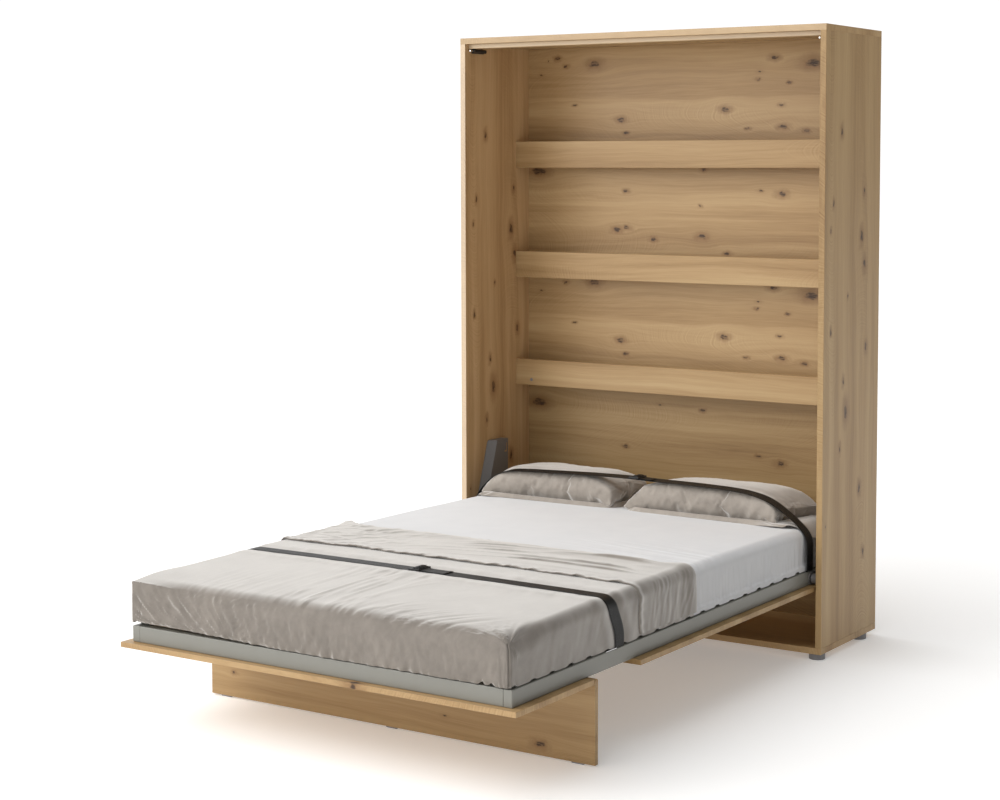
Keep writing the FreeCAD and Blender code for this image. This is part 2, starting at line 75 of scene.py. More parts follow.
class Nodes:
    """Shader nodes of one tree. A value is a number, a tuple or another node's output."""

    def __init__(self, tree):
        self.tree = tree

    def put(self, socket, value):
        if isinstance(value, bpy.types.NodeSocket):
            self.tree.links.new(value, socket)
        else:
            socket.default_value = value

    def add(self, kind, values=None, **settings):
        """A node, with its settings and its inputs by name or number."""
        node = configure(self.tree.nodes.new("ShaderNode" + kind), **settings)
        for key, value in (values or {}).items():
            self.put(node.inputs[key], value)
        return node

    def calc(self, operation, *values):
        return self.add("Math", dict(enumerate(values)), operation=operation).outputs[0]

    def times(self, a, b):
        return self.calc("MULTIPLY", a, b)

    def mad(self, a, b, c):
        """a times b, plus c."""
        return self.calc("MULTIPLY_ADD", a, b, c)

    def vector(self, operation, *values):
        node = self.add("VectorMath", dict(enumerate(values)), operation=operation)
        return node.outputs["Value" if operation in ("LENGTH", "DOT_PRODUCT") else "Vector"]

    def stretched(self, point, scale):
        return self.vector("MULTIPLY", point, scale)

    def split(self, point):
        return self.add("SeparateXYZ", {0: point}).outputs

    def join(self, *parts):
        return self.add("CombineXYZ", dict(enumerate(parts))).outputs[0]

    def own_normal(self):
        return self.add("TexCoord").outputs["Normal"]

    def cloud(self, point, scale, detail=2.0, roughness=0.5, distortion=0.0):
        """Noise of 0 to 1 at a point. The scale is a number, or a tuple with one for each axis."""
        if isinstance(scale, tuple):
            point, scale = self.stretched(point, scale), 1.0
        values = {"Vector": point, "Scale": scale, "Detail": detail, "Roughness": roughness, "Distortion": distortion}
        return self.add("TexNoise", values).outputs[0]

    def wave(self, point, scale, inputs, **settings):
        """Stripes of 0 to 1 across a stretched point."""
        return self.add("TexWave", {"Vector": self.stretched(point, scale), **inputs}, **settings).outputs[0]

    def remap(self, value, low, high, new_low=0.0, new_high=1.0):
        """Eases a value from one range into another."""
        values = {"Value": value, "From Min": low, "From Max": high, "To Min": new_low, "To Max": new_high}
        return self.add("MapRange", values, interpolation_type="SMOOTHSTEP").outputs[0]

    def ramp(self, factor, *stops):
        """Colours from (position, colour) stops."""
        node = self.add("ValToRGB", {"Fac": factor})
        elements = node.color_ramp.elements
        while len(elements) < len(stops):
            elements.new(0.5)
        for element, (position, colour) in zip(elements, stops):
            configure(element, position=position, color=(*colour, 1.0))
        return node.outputs[0]

    def mix(self, factor, a, b, blend="MIX"):
        a, b = ((*colour, 1.0) if isinstance(colour, tuple) else colour for colour in (a, b))
        return self.add("Mix", {0: factor, 6: a, 7: b}, data_type="RGBA", blend_type=blend).outputs[2]

    def bump(self, height, strength, distance, **under):
        return self.add("Bump", {"Height": height, "Strength": strength, "Distance": distance, **under}).outputs[0]


def material(name, recipe, *given, **constants):
    """A material of one Principled shader, whose constants sit on its own sockets.

    The recipe makes its colour, its normal and sometimes its roughness from a point in metres.
    """
    made = bpy.data.materials.new(name)
    made.use_nodes = True
    made.node_tree.nodes.clear()
    t = Nodes(made.node_tree)
    shader = t.add("BsdfPrincipled", {key.replace("_", " "): value for key, value in constants.items()})
    t.add("OutputMaterial", {0: shader.outputs[0]})
    varied = recipe(t, t.add("TexCoord").outputs["Object"], *given)
    for socket, value in zip(("Base Color", "Normal", "Roughness"), varied):
        t.put(shader.inputs[socket], value)
    return made


# ---- oak boards

OAK_COLOURS = (
    (0.18, (0.24, 0.132, 0.053)), (0.38, (0.352, 0.217, 0.094)), (0.52, (0.426, 0.275, 0.128)),
    (0.68, (0.49, 0.333, 0.166)), (0.88, (0.558, 0.4, 0.22)),
)
KNOT_HALO, KNOT_CORE, BANDING_AND_HIGHLIGHT = (0.205, 0.098, 0.034), (0.042, 0.019, 0.009), (0.8, 0.71, 0.58)
KNOT_LENGTH = 1.9   # a knot's length along the grain for its width


def oak_group():
    """Oak decor: u runs along the grain, v across it, w through the board."""
    tree = bpy.data.node_groups.new("oak_decor", "ShaderNodeTree")
    for name, kind in (("Point", "Vector"), ("Core", "Float"), ("Halo", "Float"), ("Bend", "Float")):
        tree.interface.new_socket(name, in_out="INPUT", socket_type="NodeSocket" + kind)
    for name, kind in (("Color", "Color"), ("Height", "Float"), ("Roughness", "Float")):
        tree.interface.new_socket(name, in_out="OUTPUT", socket_type="NodeSocket" + kind)
    t = Nodes(tree)
    given = tree.nodes.new("NodeGroupInput").outputs
    result = tree.nodes.new("NodeGroupOutput").inputs
    point = given["Point"]
    u, v, w = t.split(point)
    warp = t.mad(t.cloud(point, (0.7, 2.6, 2.6)), 0.12, -0.06)
    ripple = t.mad(t.cloud(point, (5.0, 14.0, 8.0)), 0.012, -0.006)
    across = t.calc("ADD", t.calc("ADD", v, warp), t.calc("ADD", ripple, given["Bend"]))
    flow = t.join(u, across, w)
    broad = t.cloud(flow, (0.4, 11.0, 2.0), 3.0)
    medium = t.cloud(flow, (1.6, 62.0, 9.0))
    fibre = t.cloud(flow, (11.0, 520.0, 60.0), 1.0)
    # Nested arches where the cut runs through the heart of the plank.
    wave = t.calc("COSINE", t.times(across, 14.0))
    drift = t.cloud(flow, (1.1, 3.0, 2.0))
    arch = t.mad(wave, 0.16, t.mad(drift, 0.5, u))
    rings = t.add("TexNoise", {"W": t.times(arch, 34.0), "Detail": 2.0}, noise_dimensions="1D").outputs[0]
    heart = t.remap(t.cloud(point, (0.9, 3.2, 1.0), 1.0), 0.46, 0.66)
    tone = 0.5
    for part, share in ((broad, 0.85), (medium, 0.34), (fibre, 0.22)):
        tone = t.mad(t.calc("SUBTRACT", part, 0.5), share, tone)
    tone = t.mad(t.times(t.calc("SUBTRACT", rings, 0.5), heart), 0.42, tone)
    colour = t.ramp(tone, *OAK_COLOURS)
    # Pin knots, scattered over the whole decor.
    spread = t.stretched(t.join(u, v), (3.0, 6.5, 0.0))
    specks = t.add("TexVoronoi", {"Vector": spread, "Scale": 1.0}, voronoi_dimensions="2D").outputs
    chosen = t.calc("GREATER_THAN", t.add("SeparateColor", {0: specks["Color"]}).outputs[0], 0.86)
    ragged = t.mad(t.cloud(point, 240.0), 0.03, specks["Distance"])
    pin = t.times(t.remap(ragged, 0.04, 0.022), chosen)
    pin_halo = t.times(t.remap(specks["Distance"], 0.09, 0.02), chosen)
    halo = t.calc("MAXIMUM", given["Halo"], t.times(pin_halo, 0.35))
    core = t.calc("MAXIMUM", given["Core"], pin)
    colour = t.mix(t.times(halo, 0.62), colour, KNOT_HALO)
    colour = t.mix(t.times(core, 0.93), colour, KNOT_CORE)
    height = t.mad(core, -0.5, t.mad(medium, 0.5, t.times(fibre, 0.5)))
    for name, value in (("Color", colour), ("Height", height), ("Roughness", t.mad(medium, 0.14, 0.36))):
        t.put(result[name], value)
    return tree


OAK = oak_group()


def knots(t, point, marks):
    """Darkness, halo and bend of the grain for knots at (u, v) of a radius, in metres."""
    values = {"Vector": point, "Scale": 42.0, "Detail": 4.0, "Roughness": 0.62}
    ragged = t.add("TexNoise", values).outputs["Color"]
    shift = t.vector("MULTIPLY_ADD", ragged, (0.044, 0.02, 0.0), (-0.022, -0.01, 0.0))
    rough_point = t.vector("ADD", point, shift)
    cores, halo, bend = 0.0, 0.0, 0.0
    for u, v, radius in marks:
        offset = t.vector("SUBTRACT", rough_point, (u, v, 0.0))
        away = t.vector("LENGTH", t.stretched(offset, (1.0 / (radius * KNOT_LENGTH), 1.0 / radius, 0.0)))
        cores = t.calc("MAXIMUM", cores, t.remap(away, 0.85, 0.45))
        halo = t.calc("MAXIMUM", halo, t.remap(away, 2.4, 0.4))
        pull = t.calc("EXPONENT", t.times(t.times(away, away), -0.1))
        bend = t.mad(t.times(t.split(offset)[1], pull), -0.8, bend)
    cracks = t.remap(t.cloud(point, (60.0, 260.0, 60.0)), 0.36, 0.56, 0.35, 1.0)
    return t.times(cores, cracks), halo, bend


def oak(t, place, order, centre, shift, marks, tone, pale):
    """Oak for one board. order gives the axes along the grain, across it and through it; tone scales the whole
    board's colour as painted light and shade; pale is for its front edge's banding and a painted highlight on it."""
    axes = t.split(t.vector("SUBTRACT", place, tuple(centre)))
    point = t.join(*(axes[axis] for axis in order))
    group = t.add("Group", node_tree=OAK)
    if marks:
        for key, value in zip(("Core", "Halo", "Bend"), knots(t, point, marks)):
            t.put(group.inputs[key], value)
    t.put(group.inputs["Point"], t.vector("ADD", point, shift))
    # The board's tone is painted light and shade over its whole colour.
    colour = t.mix(1.0, group.outputs["Color"], (tone, tone, tone**1.35), "MULTIPLY")
    # Front faces pale towards the banding colour: a lighter edge banding with a painted highlight on it.
    if pale:
        ahead = t.vector("DOT_PRODUCT", t.own_normal(), (0.0, -1.0, 0.0))
        colour = t.mix(t.remap(ahead, 0.5, 0.9, 0.0, pale), colour, BANDING_AND_HIGHLIGHT)
    return colour, t.bump(group.outputs["Height"], 0.22, 0.0006), group.outputs["Roughness"]


# Knots as shares of a board's length along the grain and width across it, with a radius in metres.
KNOTS_TALL = (
    (0.093, 0.908, 0.008), (0.119, 0.831, 0.006), (0.208, 0.845, 0.016), (0.147, 0.466, 0.005),
    (0.291, 0.321, 0.011), (0.306, 0.198, 0.006), (0.736, 0.85, 0.01), (0.843, 0.797, 0.02),
    (0.599, 0.401, 0.011), (0.691, 0.664, 0.005), (0.779, 0.63, 0.005), (0.756, 0.432, 0.006),
    (0.762, 0.239, 0.01), (0.826, 0.203, 0.006), (0.662, 0.227, 0.005),
)
KNOTS_SHORT = (
    (0.033, 0.849, 0.021), (0.306, 0.674, 0.007), (0.31, 0.347, 0.009), (0.279, 0.326, 0.011),
    (0.392, 0.244, 0.008), (0.761, 0.658, 0.011), (0.7, 0.684, 0.005), (0.533, 0.281, 0.012),
    (0.538, 0.865, 0.007), (0.527, 0.549, 0.005), (0.606, 0.135, 0.008),
)
KNOTS_SIDE = (
    (0.84, 0.29, 0.01), (0.742, 0.705, 0.008), (0.722, 0.155, 0.008), (0.667, 0.665, 0.015),
    (0.62, 0.72, 0.013), (0.68, 0.11, 0.006), (0.38, 0.4, 0.018), (0.43, 0.35, 0.009),
    (0.48, 0.76, 0.009), (0.32, 0.3, 0.008), (0.135, 0.74, 0.01), (0.245, 0.66, 0.012),
    (0.515, 0.12, 0.007), (0.57, 0.42, 0.005),
)
KNOTS_FOOT = (0.42, 0.985, 0.016), (0.62, 0.02, 0.014), (0.93, 0.3, 0.012)
KNOTS_LEG = (0.065, 0.32, 0.006), (0.87, 0.13, 0.012), (0.77, 0.45, 0.006)
ALONG_X_UP, ALONG_X_FLAT, UPRIGHT = (0, 2, 1), (0, 1, 2), (2, 1, 0)
BOARDS = {
    # board: (axes, grain offset along and across, knots)
    "back_board_upper": (ALONG_X_UP, (0.0, 0.0), KNOTS_TALL),
    "back_board_upper_middle": (ALONG_X_UP, (3.1, 1.7), KNOTS_SHORT),
    "back_board_lower_middle": (ALONG_X_UP, (0.0, 0.0), KNOTS_TALL),
    "back_board_lower": (ALONG_X_UP, (3.1, 1.7), KNOTS_SHORT),
    "side_panel_left": (UPRIGHT, (7.3, 4.2), KNOTS_SIDE),
    "side_panel_right": (UPRIGHT, (7.3, 4.2), KNOTS_SIDE),
    "top_panel": (ALONG_X_FLAT, (11.6, 2.4), ()),
    "bottom_panel": (ALONG_X_FLAT, (13.9, 5.1), ()),
    "cross_rail_upper": (ALONG_X_UP, (17.2, 6.3), ()),
    "cross_rail_middle": (ALONG_X_UP, (19.5, 8.1), ()),
    "cross_rail_lower": (ALONG_X_UP, (23.4, 9.6), ()),
    "back_joint_strips": (ALONG_X_UP, (25.1, 3.3), ()),
    "stop_batten": (ALONG_X_FLAT, (27.8, 7.7), ()),
    "foot_panel": (ALONG_X_FLAT, (29.3, 1.2), KNOTS_FOOT),
    "middle_panel": (ALONG_X_FLAT, (31.7, 5.8), KNOTS_SIDE[:8]),
    "leg_board": (ALONG_X_UP, (37.1, 2.9), KNOTS_LEG),
}
# Painted light and shade: whole boards made lighter or darker for how light falls on them, lighter on the left side
# panel, darker on the lowest back board, the leg board, the middle panel and the right side panel.
PAINTED_LIGHT_AND_SHADE_TONES = {
    "side_panel_left": 1.22, "side_panel_right": 0.92, "back_board_lower": 0.86, "leg_board": 0.88,
    "middle_panel": 0.9,
}
# How far front edges pale: lighter banding, with a painted highlight for the light on the left panel's front edge,
# the top panel's and the batten's.
EDGE_BANDING_AND_HIGHLIGHT = {"side_panel_left": 0.4, "top_panel": 0.14, "stop_batten": 0.34}
for name, (order, shift, shares) in BOARDS.items():
    low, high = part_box(name)
    size = high - low
    marks = [((u - 0.5) * size[order[0]], (v - 0.5) * size[order[1]], radius) for u, v, radius in shares]
    varied = order, (low + high) / 2, (*shift, 0.0), marks, PAINTED_LIGHT_AND_SHADE_TONES.get(name, 1.0), EDGE_BANDING_AND_HIGHLIGHT.get(name, 0.0)
    finish = material("oak_" + name, oak, *varied, Specular_IOR_Level=0.42)
    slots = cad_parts[name].data.materials
    for n in range(len(slots)):
        slots[n] = finish


# ---- other hard finishes

def painted(t, point, colour, roughness):
    """Powder coat: a fine orange peel, and a colour that drifts a little."""
    drift = t.cloud(point, 7.0, 3.0)
    peel = t.cloud(point, 900.0)
    dark, light = (tuple(c * (1 + change) for c in colour) for change in (-0.06, 0.06))
    shade = t.mix(drift, dark, light)
    return t.mix(t.times(peel, 0.12), shade, light), t.bump(peel, 0.1, 0.0003), t.mad(drift, 0.1, roughness)


def moulded(t, point, colour, roughness):
    """Plastic with a fine spark-eroded texture and slight scuffing."""
    grain = t.cloud(point, 1400.0)
    scuff = t.remap(t.cloud(point, 38.0, 4.0, 0.6), 0.52, 0.75)
    light = tuple(min(1.0, c * 1.35 + 0.01) for c in colour)
    return t.mix(t.times(scuff, 0.45), colour, light), t.bump(grain, 0.16, 0.0003), t.mad(scuff, 0.15, roughness)


def steel(t, point):
    """Zinc-plated and polished steel, with brushed streaks along its length."""
    streak = t.cloud(point, (900.0, 900.0, 60.0))
    colour = t.mix(t.cloud(point, 30.0), (0.58, 0.585, 0.6), (0.7, 0.7, 0.7))
    return colour, t.bump(streak, 0.05, 0.0002), t.mad(streak, 0.16, 0.14)


def birch(t, point):
    """Bent birch ply slats, grain along their length."""
    streak = t.cloud(point, (2.5, 170.0, 500.0), 3.0)
    figure = t.cloud(point, (1.2, 9.0, 40.0))
    tone = t.mad(streak, 0.6, t.times(figure, 0.4))
    colour = t.ramp(tone, (0.3, (0.52, 0.38, 0.23)), (0.7, (0.74, 0.6, 0.43)))
    return colour, t.bump(streak, 0.15, 0.0004), t.mad(streak, 0.2, 0.38)


# ---- fabrics

def velvet(t, point, shade):
    """Short-pile taupe fabric: the pile lies in soft patches, and a painted sheen pales its colour where it is seen
    edge on.
    """
    patch = t.cloud(point, 7.0, 4.0, 0.6, 0.6)
    brushed = t.cloud(point, (34.0, 24.0, 24.0), 3.0, distortion=0.5)
    pile = t.cloud(point, 1500.0)
    tone = t.mad(pile, 0.22, t.mad(patch, 0.5, t.times(brushed, 0.28)))
    deep = [tuple(shade * part * c for c in (0.226, 0.201, 0.176)) for part in (0.78, 1.0, 1.24)]
    # pale is the painted sheen's colour, mixed in where the surface is seen edge on.
    pale = t.ramp(tone, (0.32, (0.57, 0.548, 0.522)), (0.68, (0.655, 0.632, 0.604)))
    colour = t.ramp(tone, *zip((0.32, 0.5, 0.68), deep))
    edge_on = t.remap(t.add("LayerWeight", {"Blend": 0.5}).outputs["Facing"], 0.31, 0.84)
    return t.mix(edge_on, colour, pale), t.bump(brushed, 0.08, 0.003, Normal=t.bump(pile, 0.26, 0.0006))


def jersey(t, point):
    """White knitted sheet: fine ribs of stitches and a faint cloudy tone, with painted shade that greys its upright
    sides.
    """
    yarn = {"Scale": 1.0, "Distortion": 0.6}
    stitch = t.times(t.wave(point, (430.0, 0.0, 0.0), yarn), t.wave(point, (0.0, 400.0, 400.0), yarn))
    cloudy = t.cloud(point, 12.0, 3.0)
    # Painted shade: upright sides take a greyer colour, standing in for the shadow in their gathers.
    sides = t.remap(t.calc("ABSOLUTE", t.split(t.own_normal())[2]), 0.75, 0.15)
    top = t.mix(cloudy, (0.705, 0.712, 0.73), (0.775, 0.78, 0.792))
    gathered = t.mix(cloudy, (0.53, 0.53, 0.54), (0.61, 0.61, 0.61))
    return t.mix(sides, top, gathered), t.bump(stitch, 0.12, 0.0004)


def ticking(t, point):
    """The mattress's own cover, a stitched damask in diamonds."""
    waves = [t.wave(point, (9.0, turn, 9.0), {"Scale": 0.5}, bands_direction="DIAGONAL") for turn in (-9.0, 9.0)]
    quilting = t.calc("MINIMUM", *(t.remap(wave, 0.0, 0.35) for wave in waves))
    thread = t.cloud(point, (700.0, 260.0, 260.0))
    colour = t.mix(thread, (0.7, 0.69, 0.66), (0.82, 0.81, 0.79))
    return colour, t.bump(quilting, 0.5, 0.006, Normal=t.bump(thread, 0.2, 0.0005))


def webbing(t, point):
    """Black polyester webbing: a herringbone of ribs along it."""
    x, y, z = t.split(point)
    rib, turn_every, chevron = 0.0032, 0.004, 0.0024
    along = t.times(t.calc("ADD", x, z), 2.0 * math.pi / rib)
    zigzag = t.times(t.calc("PINGPONG", y, turn_every), 2.0 * math.pi / chevron)
    twill = t.calc("SINE", t.calc("ADD", along, zigzag))
    worn = t.cloud(point, 45.0, 3.0)
    colour = t.ramp(t.mad(twill, 0.22, worn), (0.25, (0.002, 0.002, 0.0022)), (0.8, (0.007, 0.007, 0.0074)))
    return colour, t.bump(twill, 0.35, 0.0005), t.mad(worn, 0.15, 0.4)


COAT = {"Coat_Weight": 0.12, "Coat_Roughness": 0.25}
PILE = {"Roughness": 0.92, "Sheen_Weight": 1.0, "Sheen_Roughness": 0.34, "Sheen_Tint": (1.0, 0.985, 0.96, 1.0)}
KNIT = {"Roughness": 0.88, "Sheen_Weight": 0.25, "Sheen_Roughness": 0.5}
FINISHES = {
    "slat_wood": material("slat_birch", birch, Specular_IOR_Level=0.4),
    "frame_paint": material("frame_paint_grey_green", painted, (0.226, 0.222, 0.196), 0.38, **COAT),
    "mechanism_paint": material("mechanism_paint_grey", painted, (0.172, 0.164, 0.16), 0.42, **COAT),
    "strut_paint": material("strut_paint_black", painted, (0.02, 0.02, 0.021), 0.3, **COAT),
    "polished_steel": material("plated_steel", steel, Metallic=1.0),
    "taupe_fabric": material("taupe_velvet", velvet, 1.0, Specular_IOR_Level=0.25, **PILE),
    "white_sheet": material("white_jersey", jersey, Specular_IOR_Level=0.25, **KNIT),
    "strap_webbing": material("black_webbing", webbing, Specular_IOR_Level=0.42),
}
PLASTICS = {
    # slot: (material, colour, roughness)
    "bush_plastic": ("bush_plastic_dark", (0.06, 0.06, 0.066), 0.45),
    "cap_plastic": ("cap_plastic_grey_green", (0.12, 0.12, 0.102), 0.5),
    "foot_plastic": ("foot_plastic_grey", (0.2, 0.197, 0.204), 0.45),
    "latch_plastic": ("latch_plastic_black", (0.016, 0.016, 0.017), 0.38),
}
for slot, (name, colour, roughness) in PLASTICS.items():
    FINISHES[slot] = material(name, moulded, colour, roughness, Specular_IOR_Level=0.45)
for name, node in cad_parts.items():
    if name not in BOARDS:
        for n, given in enumerate(node.data.materials):
            node.data.materials[n] = FINISHES[given.name.split(".")[0]]
TICKING = material("mattress_ticking", ticking, Roughness=0.9, Sheen_Weight=0.2)
# The pillowcase is the cover's velvet made 1.62 times lighter: painted light on the pillows.
PILLOWCASE = material("taupe_velvet_pillowcase_painted_light", velvet, 1.62, Specular_IOR_Level=0.25, **PILE)


# ---- shapes of cloth

def smooth(start, end, value):
    t = np.clip((value - start) / (end - start), 0.0, 1.0)
    return t * t * (3.0 - 2.0 * t)


def bell(value, width):
    return np.exp(-((value / width) ** 2))


def lengths(vectors, least=1e-9):
    return np.maximum(np.linalg.norm(vectors, axis=1), least)[:, None]


def lumps(seed, u, v=0.0, w=0.0):
    """Smooth noise of -1 to 1, one lump to a unit, at points (u, v, w)."""
    points = np.stack(np.broadcast_arrays(u, v, w), 1)
    cell = np.floor(points).astype(np.int64)
    part = points - cell
    part = part * part * part * (part * (part * 6.0 - 15.0) + 10.0)
    total = np.zeros(len(points))
    for corner in product((0, 1), repeat=3):
        at = cell + np.array(corner)
        mixed = (at[:, 0] * 73856093) ^ (at[:, 1] * 19349663) ^ (at[:, 2] * 83492791) ^ (seed * 26544357)
        mixed = (mixed * 1103515245 + 12345) & 0x7FFFFFFF
        mixed = (mixed ^ (mixed >> 13)) * 1274126177 & 0x7FFFFFFF
        share = np.prod(np.where(np.array(corner) == 1, part, 1.0 - part), axis=1)
        total += share * (mixed / 0x3FFFFFFF - 1.0)
    return total


def creases(along, across, seed, sharp=1.0):
    """Ridges of 0 to 1 that run along the first coordinate."""
    field = 0.7 * lumps(seed, along, across) + 0.3 * lumps(seed + 1, along * 1.7, across * 2.1, 5.0)
    return np.clip(1.0 - np.abs(field) * 2.6, 0.0, 1.0) ** sharp


def soft_folds(along, across, seed):
    """Rounded folds of -1 to 1 that run along the first coordinate."""
    return 0.75 * lumps(seed, along, across) + 0.25 * lumps(seed + 7, along * 2.0, across * 2.3, 3.0)


def jitter(seed, along):
    """Noise of -1 to 1 along a line."""
    return lumps(seed, along, along, along)


def blended(a, b, share):
    """Points a, and points b where the share is 1."""
    return a * (1.0 - share)[:, None] + b * share[:, None]


def spaced(*runs):
    """Grid lines over runs of (start, end, step)."""
    lines = [np.linspace(start, end, max(2, round(abs(end - start) / step) + 1))[:-1] for start, end, step in runs]
    return np.append(np.concatenate(lines), runs[-1][1])


def finer_ends(low, inner_low, inner_high, high, fine, coarse):
    """Grid lines that are closer together at both ends."""
    return spaced((low, inner_low, fine), (inner_low, inner_high, coarse), (inner_high, high, fine))


TOP, BOTTOM, FOOT, HEAD, LEFT, RIGHT = (2, 1), (2, 0), (1, 0), (1, 1), (0, 0), (0, 1)


def shell(xs, ys, zs, sides):
    """Points and quads of some sides of a box with grid lines at xs, ys and zs, joined where the sides meet."""
    lines, sizes, index, points, quads = (xs, ys, zs), (len(xs), len(ys), len(zs)), {}, [], []
    for axis, end in sides:
        a, b = [n for n in range(3) if n != axis]
        fixed = (sizes[axis] - 1) * end
        flip = (axis == 1) != (end == 0)
        for i, j in product(range(sizes[a] - 1), range(sizes[b] - 1)):
            quad = []
            for di, dj in ((0, 0), (1, 0), (1, 1), (0, 1)):
                key = [fixed] * 3
                key[a], key[b] = i + di, j + dj
                key = tuple(key)
                if key not in index:
                    index[key] = len(points)
                    points.append([lines[n][key[n]] for n in range(3)])
                quad.append(index[key])
            quads.append(quad[::-1] if flip else quad)
    return np.array(points), quads


def rounded(points, low, high, radius, square=2.0):
    """A sharp box's points on the same box with rounded edges, and their outward normals.

    A higher square keeps its upright edges sharper.
    """
    core = np.clip(points, np.array(low) + radius, np.array(high) - radius)
    out = points - core
    flat = (np.abs(out[:, 0]) ** square + np.abs(out[:, 1]) ** square) ** (1.0 / square)
    length = np.maximum(np.sqrt(flat**2 + out[:, 2] ** 2), 1e-9)
    return core + out * (radius / length)[:, None], out / lengths(out)


def added(name, data):
    """A new object in the scene."""
    made = bpy.data.objects.new(name, data)
    SCENE.collection.objects.link(made)
    return made


def mesh_of(name, points, faces, finish):
    """A smooth-shaded mesh."""
    mesh = bpy.data.meshes.new(name)
    mesh.from_pydata([tuple(p) for p in points], [], [tuple(f) for f in faces])
    mesh.update()
    mesh.polygons.foreach_set("use_smooth", [True] * len(mesh.polygons))
    mesh.materials.append(finish)
    return mesh


def piece(name, points, quads, slot, *nodes, finish=None, thickness=0.0):
    """A mesh object that rides on the bed and stands for CAD nodes. Its open edges stay sharp."""
    mesh = mesh_of(name, points, quads, finish or FINISHES[slot])
    mesh.validate()
    uses = Counter(key for face in mesh.polygons for key in face.edge_keys)
    mesh.edges.foreach_set("use_edge_sharp", [uses[edge.key] == 1 for edge in mesh.edges])
    made = added(name, mesh)
    if thickness:
        made.modifiers.new("thickness", "SOLIDIFY").thickness = thickness
    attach(made, "bed")
    if nodes:
        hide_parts(*nodes)
    return made


def corners_of(node):
    return [np.array(corner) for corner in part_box(node)]


MATTRESS_LOW, MATTRESS_HIGH = corners_of("mattress")
COVER_LOW, COVER_HIGH = corners_of("bed_cover")
FOLD_LOW, FOLD_HIGH = corners_of("cover_fold")
STRAP_LOW, STRAP_HIGH = corners_of("foot_strap")
CAPS_LOW, CAPS_HIGH = corners_of("slat_end_caps")
STRAP_Y = (STRAP_LOW[1] + STRAP_HIGH[1]) / 2 + 0.006
STRAP_WIDTH = STRAP_HIGH[1] - STRAP_LOW[1]
STRAP_LEAN, STRAP_STEP = 0.042, 0.006   # how far the foot strap's right end leans to the head; straps' grid
TOP_EDGE = MATTRESS_HIGH[2] - 0.008   # the mattress's top at its ends, before it crowns
CROWN, DROOP, DROOP_LENGTH = 0.012, 0.009, 0.19   # its rise in the middle, and its dip at the foot
SLATS, CAP_WIDTH = 20, 0.068
CAP_PITCH = (CAPS_HIGH[1] - CAPS_LOW[1] - CAP_WIDTH) / (SLATS - 1)
HEM_LOW = CAPS_LOW[2] + 0.0025   # bedding hangs over the slats' end caps, just clear of the frame
PIVOT_Y, PIVOT_Z = FRONT_Y + 0.0385, 0.2765   # the bed's pivot
SWING = 1.8648                   # the largest radius at which its foot passes the batten
UNBOUNDED = 10.0                 # a layer's open side, further out than any piece
FABRIC, SHEET_CLOTH, WEBBING = 0.0022, 0.0012, 0.0016   # thicknesses
SHEET_TOP = TOP_EDGE + 0.0055    # the sheet under the pillows
# Rounded edges: their radius, and how square the upright corners are.
CORE_EDGE, SHEET_EDGE, SOFT_EDGE = (0.03, 4.0), (0.034, 3.0), (0.066, 2.2)
EDGE, SQUARE, TURN_EDGE = 0.036, 14.0, 0.038   # the bedspread's and its turned-back end's


def between_caps(y):
    """1 at the gaps between the slats' end caps, 0 beside a cap."""
    away = np.abs((y - CAPS_LOW[1] - CAP_WIDTH / 2 + CAP_PITCH / 2) % CAP_PITCH - CAP_PITCH / 2)
    return smooth(0.026, 0.04, away)


def clear_batten(points):
    """Pulls the foot end in to the radius that swings past the stop batten."""
    reach = np.sqrt(SWING**2 - (points[:, 2] - PIVOT_Z) ** 2)
    points[:, 1] = np.maximum(points[:, 1], PIVOT_Y - reach)


def strap_line(points):
    """The foot strap's middle, in y, beside each point."""
    drop = smooth(0.0, 0.13, COVER_HIGH[2] - points[:, 2])
    return STRAP_Y + STRAP_LEAN * drop * (points[:, 0] > 0.0)


def bed_top(points, bottom):
    """How far the crowned mattress and the foot strap move a point of the bedding, in z, and along its normal."""
    share = (points[:, 1] - MATTRESS_LOW[1]) / (MATTRESS_HIGH[1] - MATTRESS_LOW[1])
    height = np.clip((points[:, 2] - bottom) / (TOP_EDGE - bottom), 0.0, 1.0)
    lift = CROWN * (1.0 - (2.0 * share - 1.0) ** 2) + 0.003 * (1.0 - (points[:, 0] / COVER_HIGH[0]) ** 2)
    lift -= DROOP * np.clip(1.0 - (points[:, 1] - MATTRESS_LOW[1]) / DROOP_LENGTH, 0.0, 1.0) ** 2
    away = points[:, 1] - strap_line(points)
    press = -0.0028 * bell(away, 0.034) + 0.0018 * bell(np.abs(away) - 0.062, 0.025)
    return lift * height, press


def bedding(points, low, high, radius, square=2.0):
    """The points of a sharp box of grid lines as a soft layer over the mattress, and their normals."""
    placed, normal = rounded(points, low, high, radius, square)
    lift, press = bed_top(placed, low[2] if low[2] > 0 else MATTRESS_LOW[2])
    placed[:, 2] += lift
    return placed + normal * press[:, None], normal


def softer_foot(placed, points, low, high):
    """Rounds the end that the bedspread covers more, so that its soft corners have room."""
    share = smooth(0.3, 0.14, points[:, 1] - low[1])
    return blended(placed, bedding(points, low, high, *SOFT_EDGE)[0], share)


def run_of(points, normal):
    """How far along the bed or across it a point of its sides, foot or head is."""
    return np.where(np.abs(normal[:, 0]) > np.abs(normal[:, 1]), points[:, 1], points[:, 0])


